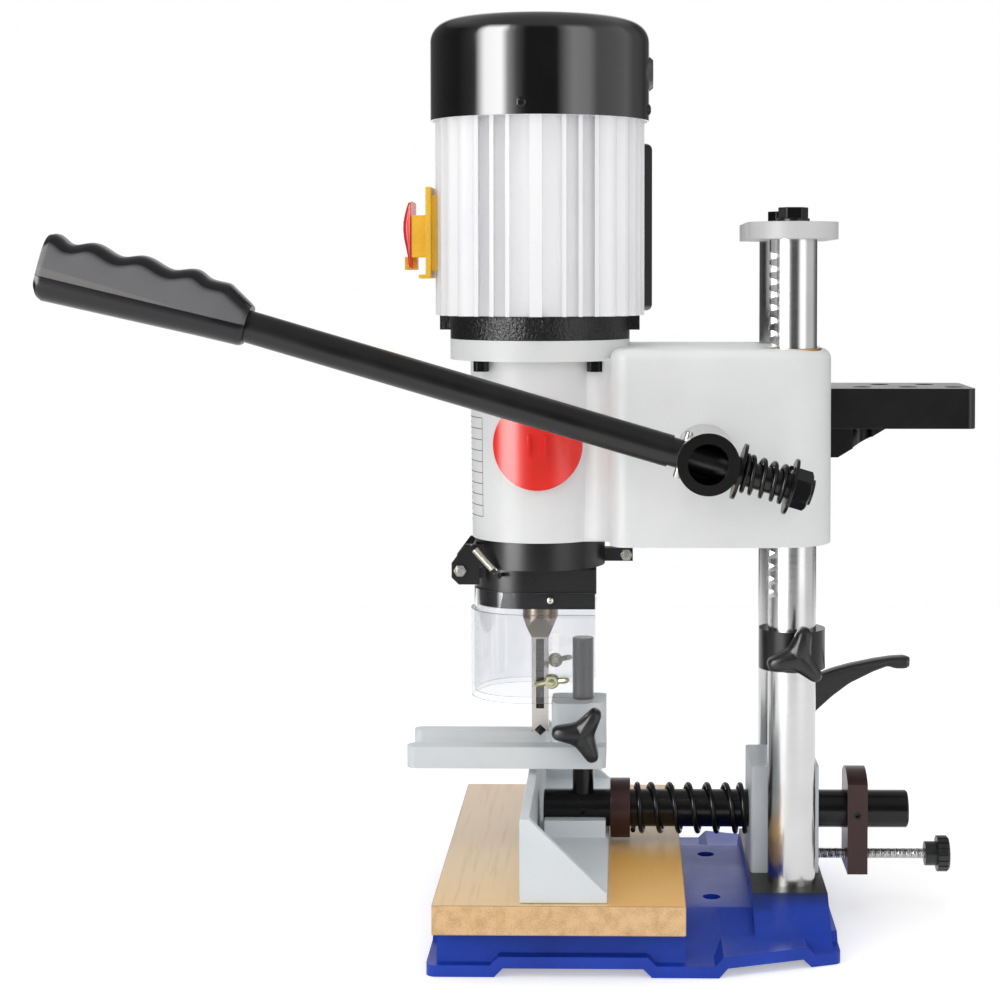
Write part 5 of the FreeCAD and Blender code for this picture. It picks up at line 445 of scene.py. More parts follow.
# A hexagon between two distances along its axis, with its corners chamfered at the outer end.
def hexHead(name, flats, start, end, origin, axis, corner):
    along, side = Vector(axis).normalized(), Vector(corner).normalized()
    other = along.cross(side)
    middle = Vector(origin) * mm
    face = flats / 2 * 0.96
    rings = []
    for drop in (end - start, 1.6, 1.2, 0.8, 0.4, 0.0):
        ring = []
        for i in range(72):
            turn = math.radians(5 * i)
            fromCorner = (turn + math.radians(30)) % math.radians(60) - math.radians(30)
            radius = min(flats / 2 / math.cos(math.radians(30) - abs(fromCorner)), face + drop * math.sqrt(3))
            ring.append(middle + along * (end - drop) * mm
                        + (side * math.cos(turn) + other * math.sin(turn)) * radius * mm)
        rings.append(ring)
    return loft(name, rings)


# Turns a piece with modifiers into plain mesh, on its body and in place of its part.
def settle(piece, *replaced, body=None, material=None, angle=32):
    bpy.context.view_layer.update()
    evaluated = piece.evaluated_get(bpy.context.evaluated_depsgraph_get())
    mesh = bpy.data.meshes.new_from_object(evaluated)
    mesh.name = piece.name
    piece.modifiers.clear()
    piece.data = mesh
    node = replaced[0] if replaced else None
    paint(piece, material or nodeMaterials[node])
    if angle:
        smooth(mesh, angle)
    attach(piece, body or bodyOf[node])
    if replaced:
        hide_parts(*replaced)
    return piece


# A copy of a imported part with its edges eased, which takes the part's place.
def easeEdges(node, width, segments=2, angle=38):
    mesh = frame["nodes"][node].data.copy()
    shape = bmesh.new()
    shape.from_mesh(mesh)
    bmesh.ops.remove_doubles(shape, verts=shape.verts, dist=2e-6)
    bmesh.ops.dissolve_limit(shape, angle_limit=math.radians(0.6), verts=shape.verts, edges=shape.edges,
                             delimit={"NORMAL"})
    shape.to_mesh(mesh)
    shape.free()
    smooth(mesh)
    piece = bpy.data.objects.new(node + "_finished", mesh)
    scene.collection.objects.link(piece)
    bevel = piece.modifiers.new("eased edges", "BEVEL")
    bevel.width = width * mm
    bevel.segments = segments
    bevel.limit_method = "ANGLE"
    bevel.angle_limit = math.radians(angle)
    bevel.use_clamp_overlap = True
    flatter = piece.modifiers.new("flat faces stay flat", "WEIGHTED_NORMAL")
    flatter.keep_sharp = True
    return settle(piece, node, angle=None)


for node, part in frame["nodes"].items():
    paint(part, nodeMaterials[node])
print("parts painted")

easedParts = {
    "base_casting": 1.5, "work_board": 0.5, "guide_block": 1.5, "column_top_plate": 1.8, "column_bolts": 0.5,
    "depth_collar": 0.8, "front_collar": 0.8, "rear_bracket": 1.0, "fence": 1.2, "post": 0.6, "hold_down": 2.6,
    "head_casting": 1.5, "flange_bolts": 0.4, "chisel_holder": 1.0, "pinion_shaft": 0.8,
    "guard_clamp_ring": 0.4, "guard_ring": 0.3, "motor_flange": 0.8, "capacitor_box": 0.8, "switch_plate": 0.5,
    "switch_box": 0.6, "near_cover": 0.4, "far_cover": 0.4, "adjusting_knob": 0.5, "guard_nuts": 0.5,
}
for node, width in easedParts.items():
    easeEdges(node, width, segments=3 if node == "hold_down" else 2)
print("edges eased:", len(easedParts))


def eased(stations, at):
    for first, last in zip(stations, stations[1:]):
        if at <= last[0]:
            share = (1 - math.cos(math.pi * (at - first[0]) / (last[0] - first[0]))) / 2
            return first[1] + share * (last[1] - first[1])
    return stations[-1][1]


def straight(stations, at):
    for first, last in zip(stations, stations[1:]):
        if at <= last[0]:
            return first[1] + (at - first[0]) / (last[0] - first[0]) * (last[1] - first[1])
    return stations[-1][1]


# Moulded grip: flat cheeks, finger waves on top, a crease low on each cheek and a rounded belly
grip = {
    "start": 328.0, "end": 474.0, "stations": 96, "halfWidth": 17.0,
    "top": [(328, 14.5), (331, 16.5), (347, 25.0), (359, 24.4), (371, 28.0), (388, 23.2), (407, 26.8),
            (424, 21.9),
            (442, 25.6), (458, 20.4), (470, 24.2), (474, 22.6)],
    "bottom": [(328, 12.8), (330, 14.4), (360, 16.0), (468, 23.2), (472, 21.4), (474, 17.4)],
    "wedge": [(328, 2.0), (345, 2.0), (386, 2.9), (474, 0.3)],
    "crease": [(328, 1.0), (345, 0.2), (474, -6.4)],
    "width": [(328, 0.88), (331, 0.93), (350, 1.0), (471, 1.0), (474, 0.94)],
}


def makeGrip():
    rings = []
    for i in range(grip["stations"] + 1):
        at = grip["start"] + (grip["end"] - grip["start"]) * i / grip["stations"]
        top = eased(grip["top"], at) if at > 347 else straight(grip["top"], at)
        bottom = -straight(grip["bottom"], at)
        wedge, crease = straight(grip["wedge"], at), straight(grip["crease"], at)
        half = grip["halfWidth"] * straight(grip["width"], at)
        cheek = [(0, top), (0.3 * half, top - 0.2), (0.55 * half, top - 1.1), (0.74 * half, top - 2.7),
                 (0.87 * half, top - 5.0), (0.955 * half, top - 7.8), (half, top - 11.0),
                 (half, (top - 11.0 + wedge) / 2), (half, wedge), (0.975 * half, crease + 0.15),
                 (0.93 * half, crease - 0.35)]
        belly = crease - 1.6
        for step in range(0, 9):
            turn = math.radians(90 * step / 8)
            cheek.append((0.93 * half * math.cos(turn) ** 0.85 if step < 8 else 0,
                          belly - (belly - bottom) * math.sin(turn)))
        section = cheek + [(-across, up) for across, up in cheek[-2:0:-1]]
        middle = leverHub + leverAlong * at
        rings.append([(middle + leverUp * up + Vector((0, across, 0))) * mm for across, up in section])
    settle(loft("lever_grip_moulded", rings), "lever_grip", angle=24)


# Star knobs: three arms with hollow flanks, domed to the middle, on a short stem with its screw
starKnobs = {
    "hold_down_knob": {"middle": (-95.3, 143.0), "arm": 56, "back": -49.0, "screw": 3.0, "screwEnd": -8.3},
    "depth_knob": {"middle": (58.2, 210.1), "arm": 75, "back": -102.1, "screw": 4.0, "screwEnd": -72.8},
}
starShape = {"outline": [(0, 22.0), (6, 21.7), (12, 20.2), (17, 17.6), (22, 15.3), (29, 13.1), (38, 11.3),
                         (48, 10.2), (60, 9.6)],
             "layers": [(0.0, 1.3), (0.8, 0.5), (2.2, 0.0), (8.6, 0.0), (10.6, 0.5), (12.0, 1.5), (12.9, 2.9),
                        (13.5, 4.6), (14.0, 6.6), (14.3, 8.6)],
             "points": 180}


def makeStarKnob(node, place):
    rings = []
    for depth, inset in starShape["layers"]:
        ring = []
        for i in range(starShape["points"]):
            turn = 2 * math.pi * i / starShape["points"]
            fromArm = abs((math.degrees(turn) - place["arm"] + 60) % 120 - 60)
            radius = straight(starShape["outline"], fromArm)
            radius = max(radius - inset, radius * (1 - inset / 9.6), 0.4)
            ring.append(Vector((place["middle"][0] + radius * math.cos(turn), place["back"] - depth,
                                place["middle"][1] + radius * math.sin(turn))) * mm)
        rings.append(ring)
    star = loft(node + "_star", rings)
    x, z = place["middle"]
    collar = turned(node + "_collar", [(8.5, 0), (8.5, 5.4), (7.6, 6.0), (place["screw"] + 0.4, 6.0)],
                    (x, place["back"] - 0.1, z), (0, 1, 0), 48)
    length = place["screwEnd"] - place["back"]
    screw = turned(node + "_screw", [(place["screw"], 0), (place["screw"], length - 1),
                                     (place["screw"] - 0.8, length)],
                   (x, place["back"], z), (0, 1, 0), 32)
    settle(joined(node + "_moulded", star, collar, screw), node, angle=28)


# Clamp lever: a hub on its screw and a webbed arm with a flange along its top edge
clampLever = {
    "middle": (58.2, 0.0), "screwFoot": 89.6, "hubFoot": 115.4, "hubTop": 159.4, "hubRadius": 10.8,
    "top": [(60, 158.0), (72, 170.0), (81, 177.6), (93, 182.2), (106, 185.8), (124, 189.6), (137, 191.6),
            (147, 192.2), (151.2, 190.8)],
    "bottom": [(60, 130.0), (72, 141.0), (81, 150.2), (93, 161.2), (106, 171.0), (124, 180.0), (135, 184.2),
               (140, 182.4), (148, 182.2), (151.2, 184.0)],
    "flangeHalf": 6.6, "webHalf": 4.4, "flange": 4.2,
}


def makeClampLever():
    x, y = clampLever["middle"]
    rings = []
    stations = [62 + i * (151.2 - 62) / 36 for i in range(37)]
    for at in stations:
        top = straight(clampLever["top"], at)
        bottom = straight(clampLever["bottom"], at)
        end = min(1, 0.55 + (151.2 - at) / 3.5)
        flange, web = clampLever["flangeHalf"] * end, clampLever["webHalf"] * end
        lip = min(clampLever["flange"], (top - bottom) * 0.5)
        side = [(0, top), (0.6 * flange, top - 0.15), (0.88 * flange, top - 0.7), (flange, top - 1.9),
                (flange, top - lip + 0.6), (flange - 0.5, top - lip), (web + 0.3, top - lip - 0.2),
                (web, top - lip - 0.7), (web, bottom + 2.0), (0.8 * web, bottom + 0.6), (0.4 * web, bottom)]
        section = side + [(-across, up) for across, up in side[::-1][:-1]]
        rings.append([Vector((at, y + across, up)) * mm for across, up in section])
    arm = loft("clamp_arm", rings)
    radius = clampLever["hubRadius"]
    foot, crown = clampLever["hubFoot"] + 0.4, clampLever["hubTop"]
    hub = turned("clamp_hub", [(radius - 1.5, 0), (radius, 1.5), (radius, crown - foot - 4),
                               (radius - 1.6, crown - foot - 1.2), (radius - 5, crown - foot),
                               (0, crown - foot + 0.4)], (x, y, foot), (0, 0, 1), 48)
    screw = turned("clamp_screw", [(4.0, 0), (4.9, 1.2), (4.9, foot - clampLever["screwFoot"] + 1)],
                   (x, y, clampLever["screwFoot"]), (0, 0, 1), 32)
    settle(joined("clamp_lever_cast", arm, hub, screw), "clamp_lever", angle=30)


# Red switch paddle: a crowned plate with a hooked top and a rounded foot
paddle = {
    "face": [(534.2, -223.6), (533.6, -225.6), (529.5, -227.2), (524.5, -228.6), (519.0, -229.7),
             (513.0, -229.9), (506.5, -229.2), (499.5, -227.6), (493.0, -226.2), (489.0, -225.8),
             (486.0, -225.2), (484.2, -224.2)],
    "back": -223.1, "middle": 508.8, "halfWidth": 21.0, "columns": 24,
}


def makePaddle():
    rings = []
    half = paddle["halfWidth"]
    for i in range(paddle["columns"] + 1):
        share = -1 + 2 * i / paddle["columns"]
        across = half * math.sin(share * math.pi / 2)
        crown = max(0.0, 1 - (across / half) ** 4) ** 0.5
        height = 1 - 0.05 * (across / half) ** 6
        front = [(paddle["middle"] + (z - paddle["middle"]) * height,
                  paddle["back"] + (x - paddle["back"]) * (0.35 + 0.65 * crown)) for z, x in paddle["face"]]
        rear = [(z, paddle["back"]) for z, x in front[::-1]]
        rings.append([Vector((x, across, z)) * mm for z, x in front + rear])
    plate = loft("paddle_plate", rings)
    hook = loft("paddle_hook", [[Vector((x, y, z)) * mm
                                 for y, z in ((-8, 533.0), (8, 533.0), (8, 534.4), (-8, 534.4))]
                                for x in (-224.0, -223.2)])
    settle(joined("switch_paddle", plate, hook), "switch_cover", angle=40)


# Nut on the end of the rod: a flange against the spring and a chamfered hexagon
leverNut = {"flats": 24.0, "start": 60.3, "end": 72.4, "bore": 8.6,
            "flange": [(58.0, 19.2), (58.3, 19.6), (60.1, 19.6), (60.4, 19.2)]}


def makeLeverNut():
    rim = [(radius, distance) for distance, radius in leverNut["flange"]]
    bore = leverNut["bore"]
    edge = [(bore, rim[0][1])] + rim + [(bore, rim[-1][1])]
    flange = turned("nut_flange", edge, leverHub, -leverAlong, 72, closed=True)
    hexagon = hexHead("nut_hexagon", leverNut["flats"], leverNut["start"], leverNut["end"],
                      leverHub, -leverAlong, leverUp)
    settle(joined("lever_nut_turned", flange, hexagon), "lever_nut", angle=25)


# Slotted spring pin across the rod, notched into the hub's ring
springPin = {"radius": 2.5, "wall": 0.55, "slot": 0.35, "length": 33.0, "offset": 17.6}


def makeSpringPin():
    middle = leverHub + leverAlong * springPin["offset"]
    rings = []
    outer, inner = springPin["radius"], springPin["radius"] - springPin["wall"]
    turns = [springPin["slot"] + (2 * math.pi - 2 * springPin["slot"]) * i / 28 + math.pi for i in range(29)]
    for share in (-0.5, -0.485, 0.485, 0.5):
        shrink = 0.3 if abs(share) == 0.5 else 0.0
        ring = [(math.cos(t) * (outer - shrink), math.sin(t) * (outer - shrink)) for t in turns]
        ring += [(math.cos(t) * inner, math.sin(t) * inner) for t in turns[::-1]]
        spot = middle + leverUp * springPin["length"] * share
        rings.append([(spot + leverAlong * u + Vector((0, v, 0))) * mm for u, v in ring])
    settle(loft("lever_spring_pin", rings), "lever_pin")


# Wing nuts: a tapered hub with a dome-ended stud and two raised wings
wingNut = {"middle": (-117.6, 180.0), "tilt": 8, "hubFoot": 5.6, "hubTop": 4.6, "hubHeight": 6.2, "stud": 2.5,
           "wingReach": 13.2, "start": 42.9}


def makeWingNuts():
    x, z = wingNut["middle"]
    parts = []
    for side in (-1, 1):
        start = side * wingNut["start"]
        parts.append(turned("nut_hub", [(wingNut["stud"], 0.0), (wingNut["hubFoot"], 0.0),
                                        (wingNut["hubFoot"], 1.0),
                                        (wingNut["hubTop"] + 0.2, wingNut["hubHeight"] - 0.6),
                                        (wingNut["hubTop"] - 0.5, wingNut["hubHeight"]),
                                        (wingNut["stud"], wingNut["hubHeight"])],
                            (x, start, z), (0, side, 0), 40, closed=True))
        parts.append(turned("nut_stud", [(wingNut["stud"] - 0.1, 0.2), (wingNut["stud"] - 0.1, 7.0),
                                         (wingNut["stud"] - 0.7, 7.7), (0, 8.0)],
                                         (x, start, z), (0, side, 0), 32))
        for way in (-1, 1):
            rings = []
            for i in range(11):
                share = i / 10
                reach = 3.2 + (wingNut["wingReach"] - 3.2) * share
                thick = (1.7 + 0.6 * math.sin(math.pi * share)) * (1 - 0.55 * max(0, share - 0.85) / 0.15)
                low = 0.9 + 2.2 * share ** 1.5
                high = 4.6 + 3.2 * share - 4.4 * max(0, share - 0.72) ** 2 / 0.08
                high = max(high, low + 1.6)
                turn = math.radians(wingNut["tilt"])
                ring = []
                for j in range(12):
                    a = 2 * math.pi * j / 12
                    up = math.cos(a) * thick
                    out = (low + high) / 2 + math.sin(a) * (high - low) / 2
                    spot = Vector((way * reach * math.cos(turn) - up * math.sin(turn), 0,
                                   way * reach * math.sin(turn) + up * math.cos(turn)))
                    ring.append(Vector((x + spot.x, start + side * out, z + spot.z)) * mm)
                rings.append(ring)
            parts.append(loft("nut_wing", rings))
    settle(joined("wing_nuts_formed", *parts), "wing_nuts", angle=35)


# Printed depth scale round the front of the quill: ten lines, the upright that joins them and plain numbers
depthScale = {"top": 373.6, "pitch": 8.155, "lines": 10, "from": -6.0, "to": 36.4, "line": 0.5, "proud": 0.07,
              "radiusLow": 51.0, "radiusHigh": 52.5, "low": 282.8, "high": 416.5, "numberSize": 3.4}


def quillSpot(turn, z, proud):
    share = (z - depthScale["low"]) / (depthScale["high"] - depthScale["low"])
    radius = depthScale["radiusLow"] + share * (depthScale["radiusHigh"] - depthScale["radiusLow"]) + proud
    return Vector((-127.7 - radius * math.cos(math.radians(turn)),
                   -radius * math.sin(math.radians(turn)), z)) * mm


def makeDepthScale():
    parts = []
    half = depthScale["line"] / 2
    proud = depthScale["proud"]
    for count in range(depthScale["lines"]):
        z = depthScale["top"] - count * depthScale["pitch"]
        rings = []
        for i in range(25):
            turn = depthScale["from"] + (depthScale["to"] - depthScale["from"]) * i / 24
            rings.append([quillSpot(turn, z + half, proud), quillSpot(turn, z - half, proud),
                          quillSpot(turn, z - half, -0.2), quillSpot(turn, z + half, -0.2)])
        parts.append(loft("scale_line", rings))
        words = bpy.data.curves.new("scale_number", "FONT")
        words.body = str(count)
        words.size = depthScale["numberSize"] * mm
        words.extrude = 0.06 * mm
        number = bpy.data.objects.new("scale_number", words)
        scene.collection.objects.link(number)
        bpy.context.view_layer.update()
        mesh = bpy.data.meshes.new_from_object(number.evaluated_get(bpy.context.evaluated_depsgraph_get()))
        for vertex in mesh.vertices:
            across, up, out = vertex.co / mm
            vertex.co = quillSpot(8 - across / 52 * 57.3 * -1, z - 5.2 + up, 0.0 + out)
        plain = bpy.data.objects.new("scale_number_plain", mesh)
        scene.collection.objects.link(plain)
        bpy.data.objects.remove(number)
        parts.append(plain)
    upright = []
    low = depthScale["top"] - (depthScale["lines"] - 1) * depthScale["pitch"]
    for i in range(9):
        z = low + (depthScale["top"] - low) * i / 8
        upright.append([quillSpot(depthScale["to"] - 0.15, z, proud),
                        quillSpot(depthScale["to"] + 0.3, z, proud),
                        quillSpot(depthScale["to"] + 0.3, z, -0.2),
                        quillSpot(depthScale["to"] - 0.15, z, -0.2)])
    parts.append(loft("scale_upright", upright))
    settle(joined("depth_scale", *parts), body="head", material="scaleInk")


# Geometry Nodes trees: a wound wire for the guard spring and the thread, and a ring of screws
def newTree(name, sockets):
    tree = bpy.data.node_groups.new(name, "GeometryNodeTree")
    for label, kind in sockets:
        tree.interface.new_socket(label, in_out="INPUT", socket_type=kind)
    tree.interface.new_socket("Geometry", in_out="OUTPUT", socket_type="NodeSocketGeometry")
    return tree, addNode(tree, "NodeGroupInput"), addNode(tree, "NodeGroupOutput")


def finishTree(tree, values, geometry, output):
    real = addNode(tree, "GeometryNodeRealizeInstances", {"Geometry": geometry})
    coated = addNode(tree, "GeometryNodeSetMaterial", {"Geometry": real.outputs[0],
                                                       "Material": values.outputs["Material"]})
    tree.links.new(coated.outputs[0], output.inputs["Geometry"])


def woundWireTree():
    tree, values, output = newTree("wound wire", [
        ("Radius", "NodeSocketFloat"), ("Wire", "NodeSocketFloat"), ("Height", "NodeSocketFloat"),
        ("Turns", "NodeSocketFloat"), ("Sides", "NodeSocketInt"), ("Material", "NodeSocketMaterial")])
    line = addNode(tree, "GeometryNodeCurveSpiral", {
        "Resolution": 24, "Rotations": values.outputs["Turns"], "Start Radius": values.outputs["Radius"],
        "End Radius": values.outputs["Radius"], "Height": values.outputs["Height"]})
    wireRound = addNode(tree, "GeometryNodeCurvePrimitiveCircle", {"Resolution": values.outputs["Sides"],
                                                                "Radius": values.outputs["Wire"]})
    tube = addNode(tree, "GeometryNodeCurveToMesh", {"Curve": line.outputs[0],
                                                     "Profile Curve": wireRound.outputs[0],
                                                     "Fill Caps": True})
    finishTree(tree, values, tube.outputs[0], output)
    return tree


def ringOfScrewsTree(screw):
    tree, values, output = newTree("ring of screws", [
        ("Radius", "NodeSocketFloat"), ("Count", "NodeSocketInt"), ("Material", "NodeSocketMaterial")])
    ring = addNode(tree, "GeometryNodeMeshCircle", {"Vertices": values.outputs["Count"],
                                                    "Radius": values.outputs["Radius"]})
    source = addNode(tree, "GeometryNodeObjectInfo", {"Object": screw})
    outward = addNode(tree, "FunctionNodeAlignEulerToVector",
                      {"Vector": addNode(tree, "GeometryNodeInputPosition").outputs[0]},
                      axis="X")
    placed = addNode(tree, "GeometryNodeInstanceOnPoints", {"Points": ring.outputs[0],
                                                            "Instance": source.outputs["Geometry"],
                                                            "Rotation": outward.outputs[0]})
    finishTree(tree, values, placed.outputs[0], output)
    return tree


def grown(name, tree, place, **values):
    piece = bpy.data.objects.new(name, bpy.data.meshes.new(name))
    scene.collection.objects.link(piece)
    modifier = piece.modifiers.new(tree.name, "NODES")
    modifier.node_group = tree
    for item in tree.interface.items_tree:
        if item.item_type == "SOCKET" and item.in_out == "INPUT" and item.name in values:
            modifier[item.identifier] = values[item.name]
    bpy.context.view_layer.update()
    mesh = bpy.data.meshes.new_from_object(piece.evaluated_get(bpy.context.evaluated_depsgraph_get()))
    piece.modifiers.clear()
    mesh.transform(place)
    piece.data = mesh
    return piece


# Guard spring: a close-wound extension spring between its two pegs
guardSpring = {"upper": (-174.6, -36.8, 276.4), "lower": (-158.6, -42.0, 260.2), "radius": 2.5, "wire": 0.42,
               "turns": 20.0, "hook": 3.2}


def makeGuardSpring(wireTree):
    top, foot = Vector(guardSpring["upper"]), Vector(guardSpring["lower"])
    along = (foot - top).normalized()
    length = (foot - top).length - guardSpring["hook"]
    turn = along.to_track_quat("Z", "Y").to_matrix().to_4x4()
    coil = grown("guard_coil", wireTree, Matrix.Translation(top * mm) @ turn, Radius=guardSpring["radius"] * mm,
                 Wire=guardSpring["wire"] * mm, Height=length * mm, Turns=guardSpring["turns"], Sides=8,
                 Material=materials["nickelWire"])
    end = top + along * length
    side = along.cross(Vector((0, 1, 0))).normalized()
    rings = []
    for i in range(17):
        share = i / 16
        bend = math.radians(-90 + 250 * share)
        spot = end + along * (guardSpring["hook"] / 2 + guardSpring["hook"] / 2 * math.sin(bend)) \
            + side * guardSpring["radius"] * 0.75 * math.cos(bend)
        rings.append([(spot + (Vector((0, 1, 0)) * math.cos(a) + side * math.sin(a)) * guardSpring["wire"]) * mm
                      for a in (2 * math.pi * j / 8 for j in range(8))])
    settle(joined("guard_spring_wound", coil, loft("guard_hook", rings)), "guard_spring", angle=50)


# Adjusting screw: a rolled M8 thread on its core
screwThread = {"from": 80.6, "to": 163.6, "core": 3.45, "crest": 3.62, "ridge": 0.36, "pitch": 1.25,
               "level": 41.2,
               "tailTo": 172.2}


def makeAdjustingScrew(wireTree):
    length = screwThread["to"] - screwThread["from"]
    place = Matrix.Translation(Vector((screwThread["from"], 0, screwThread["level"])) * mm) \
        @ Matrix.Rotation(math.pi / 2, 4, "Y")
    ridge = grown("thread", wireTree, place, Radius=screwThread["crest"] * mm, Wire=screwThread["ridge"] * mm,
                  Height=length * mm, Turns=length / screwThread["pitch"], Sides=4,
                  Material=materials["bareSteel"])
    core = turned("core", [(screwThread["core"] - 0.8, 0), (screwThread["core"], 1.0),
                           (screwThread["core"], screwThread["tailTo"] - screwThread["from"])],
                  (screwThread["from"] - 0.2, 0, screwThread["level"]), (1, 0, 0), 32)
    settle(joined("adjusting_screw_threaded", ridge, core), "adjusting_screw", angle=50)


# Cowl screws: pan heads with a cross recess, four round the cowl
cowlScrews = {"radius": 82.2, "level": 602.6, "head": 4.2, "proud": 1.7, "turn": 262.6, "recess": 1.0}


def makeCowlScrews():
    dome = turned("pan_head", [(0.0, -1.4), (cowlScrews["head"] - 0.6, -1.4), (cowlScrews["head"], 0.0),
                               (cowlScrews["head"] - 0.3, 0.7), (cowlScrews["head"] - 1.3, 1.3),
                               (cowlScrews["recess"] + 0.9, 1.6), (cowlScrews["recess"] + 0.2, 1.0),
                               (0.0, 0.5)], (0, 0, 0), (1, 0, 0), 24)
    bars = []
    for turn in (0, 90):
        bar = loft("cross_bar", [[Vector((x, across, up)) * mm
                                  for across, up in ((-0.35, -2.3), (0.35, -2.3), (0.35, 2.3), (-0.35, 2.3))]
                                 for x in (0.8, 1.66)])
        bar.data.transform(Matrix.Rotation(math.radians(turn + 45), 4, "X"))
        bars.append(bar)
    screw = joined("cowl_screw", dome, *bars)
    place = Matrix.Translation(Vector((-127.7, 0, cowlScrews["level"])) * mm) \
        @ Matrix.Rotation(math.radians(cowlScrews["turn"]), 4, "Z")
    ring = grown("cowl_screws_set", ringOfScrewsTree(screw), place, Radius=cowlScrews["radius"] * mm, Count=4,
                 Material=materials["blackOxide"])
    bpy.data.objects.remove(screw)
    settle(ring, "cowl_screws", angle=35)


# Small pan-head screw that holds the shields' carrier, on the near side of the guard's ring
guardScrew = {"middle": (-118.7, 239.8), "face": -43.6, "head": 2.6, "proud": 1.7}


def makeGuardScrew():
    x, z = guardScrew["middle"]
    head, proud = guardScrew["head"], guardScrew["proud"]
    screw = turned("guard_screw", [(0.0, 0.0), (head, 0.0), (head, proud * 0.4), (head - 0.5, proud * 0.8),
                                   (1.2, proud), (0.8, proud - 0.6), (0.0, proud - 0.7)],
                   (x, guardScrew["face"], z), (0, -1, 0), 32)
    settle(screw, body="guard", material="zincSteel")


makeGrip()
makeGuardScrew()
for node, place in starKnobs.items():
    makeStarKnob(node, place)
makeClampLever()
makePaddle()
makeLeverNut()
makeSpringPin()
makeWingNuts()
makeDepthScale()
wireTree = woundWireTree()
makeGuardSpring(wireTree)
makeAdjustingScrew(wireTree)
makeCowlScrews()
print("fine pieces made")


# Floor, studio walls, lamps and camera
stage = {"floorSize": 2.8, "keyPower": 5.0, "frontPower": 8.0, "topPower": 6.0, "worldStrength": 0.72,
         "floorGlow": 0.38, "strongest": 14.0, "ceiling": 0.45}


# A pale floor: full white where it is lit, and still dimmed by the object's shadow.
def paleFloor(name):
    material, tree, shader = newMaterial(name, Roughness=0.9)
    shader.inputs["Base Color"].default_value = hexColour("#F4F4F4")
    path = addNode(tree, "ShaderNodeLightPath")
    seen = calculate(tree, "MAXIMUM", calculate(tree, "MAXIMUM", path.outputs["Is Camera Ray"],
                                                path.outputs["Is Glossy Ray"]),
                      path.outputs["Is Transmission Ray"])
    strength = calculate(tree, "MULTIPLY", seen, stage["floorGlow"])
    glow = addNode(tree, "ShaderNodeEmission", {"Color": (1, 1, 1, 1), "Strength": strength})
    both = addNode(tree, "ShaderNodeAddShader", {0: shader.outputs[0], 1: glow.outputs[0]})
    tree.links.new(both.outputs[0], tree.nodes["Material Output"].inputs["Surface"])
    return material


def makeFloor():
    half = stage["floorSize"] / 2
    mesh = bpy.data.meshes.new("floor")
    mesh.from_pydata([(-half, -half, 0), (half, -half, 0), (half, half, 0), (-half, half, 0)],
                     [], [(0, 1, 2, 3)])
    floor = bpy.data.objects.new("floor", mesh)
    scene.collection.objects.link(floor)
    floor.location.z = -0.0002
    mesh.materials.append(paleFloor("pale studio floor"))


# The studio seen in reflections, by degrees round from the camera: a strip lamp at the left, softer ones at the
# right, the white backdrop behind the object and dark walls between
studioWalls = [(-180, 1.0), (-169, 1.0), (-158, 0.1), (-92, 0.07), (-68, 0.3), (-57, 11.0),
               (-38, 12.5), (-31, 3.0),
               (-22, 0.7), (-12, 0.1), (20, 0.09), (28, 1.2), (37, 2.2), (54, 1.9), (64, 0.75), (104, 0.8),
               (116, 0.35), (142, 0.08), (162, 0.1), (171, 1.0), (180, 1.0)]


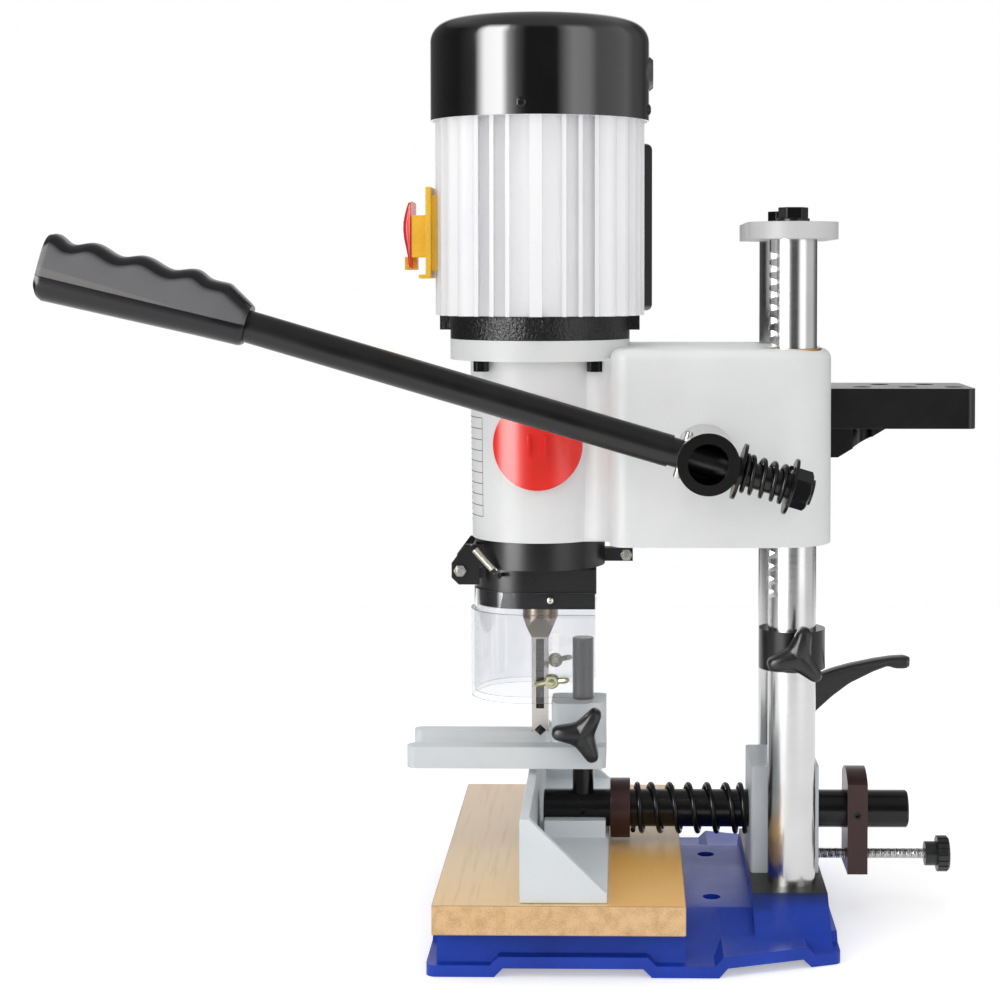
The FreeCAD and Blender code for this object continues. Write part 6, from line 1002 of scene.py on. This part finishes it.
def makeWorld():
    world = bpy.data.worlds.new("studio")
    scene.world = world
    world.use_nodes = True
    tree = world.node_tree
    background = tree.nodes["Background"]
    path = addNode(tree, "ShaderNodeLightPath")
    direction = addNode(tree, "ShaderNodeTexCoord")
    parts = addNode(tree, "ShaderNodeSeparateXYZ", {"Vector": direction.outputs["Generated"]})
    bearing = calculate(tree, "ARCTAN2", parts.outputs["X"],
                           calculate(tree, "MULTIPLY", parts.outputs["Y"], -1.0))
    share = calculate(tree, "ADD", calculate(tree, "DIVIDE", bearing, 2 * math.pi), 0.5)
    walls = addNode(tree, "ShaderNodeValToRGB", {"Fac": share})
    ramp = walls.color_ramp
    while len(ramp.elements) < len(studioWalls):
        ramp.elements.new(0.5)
    for element, (degrees, level) in zip(ramp.elements, studioWalls):
        element.position = (degrees + 180) / 360
        element.color = [level / stage["strongest"]] * 3 + [1]
    bright = addNode(tree, "ShaderNodeVectorMath", {0: walls.outputs["Color"], "Scale": stage["strongest"]},
                     operation="SCALE")
    overhead = spread(tree, parts.outputs["Z"], 0.45, 0.7)
    room = mixColours(tree, overhead, bright.outputs["Vector"], [stage["ceiling"]] * 3 + [1])
    straightOn = calculate(tree, "LESS_THAN", calculate(tree, "ADD", path.outputs["Glossy Depth"],
                                                        path.outputs["Diffuse Depth"]), 0.5)
    through = calculate(tree, "MULTIPLY", path.outputs["Is Transmission Ray"], straightOn)
    seen = calculate(tree, "MAXIMUM", path.outputs["Is Camera Ray"], through)
    level = stage["worldStrength"]
    shiny = calculate(tree, "MAXIMUM", path.outputs["Is Glossy Ray"], path.outputs["Is Transmission Ray"])
    lit = mixColours(tree, shiny, (level, level, level, 1), room)
    tree.links.new(mixColours(tree, seen, lit, (1, 1, 1, 1)), background.inputs["Color"])
    background.inputs["Strength"].default_value = 1.0


def areaLight(name, place, aim, power, width, height):
    light = bpy.data.lights.new(name, "AREA")
    light.shape = "RECTANGLE"
    light.size, light.size_y = width, height
    light.energy = power
    lamp = bpy.data.objects.new(name, light)
    lamp.location = place
    lamp.rotation_euler = (Vector(aim) - Vector(place)).to_track_quat("-Z", "Y").to_euler()
    lamp.visible_glossy = False
    scene.collection.objects.link(lamp)


# Fitted so that points of the object fall within 3 px of where the photograph has them
def makeCamera():
    view = {"x": -0.0639, "distance": 1.582, "z": 0.4828, "focal": 2.0998, "yaw": 1.0, "pitch": 2.0,
            "shiftX": -0.0881, "shiftY": 0.1562}
    camera = bpy.data.objects.new("camera", bpy.data.cameras.new("camera"))
    lens = camera.data
    lens.sensor_width = 36.0
    lens.lens = 36.0 * view["focal"]
    lens.shift_x = view["shiftX"]
    lens.shift_y = -view["shiftY"]
    lens.clip_end = 50.0
    camera.location = (view["x"], -view["distance"], view["z"])
    camera.rotation_euler = (math.radians(90 - view["pitch"]), 0, math.radians(view["yaw"]))
    scene.collection.objects.link(camera)
    scene.camera = camera


makeFloor()
makeWorld()
areaLight("key softbox", (-1.5, -1.2, 0.9), (-0.1, 0, 0.35), stage["keyPower"], 0.9, 1.6)
areaLight("front softbox", (0.2, -2.3, 0.8), (-0.05, 0, 0.35), stage["frontPower"], 1.2, 1.2)
areaLight("top softbox", (-0.2, -0.3, 2.1), (-0.1, 0, 0.3), stage["topPower"], 1.4, 1.4)
makeCamera()
print("stage ready")
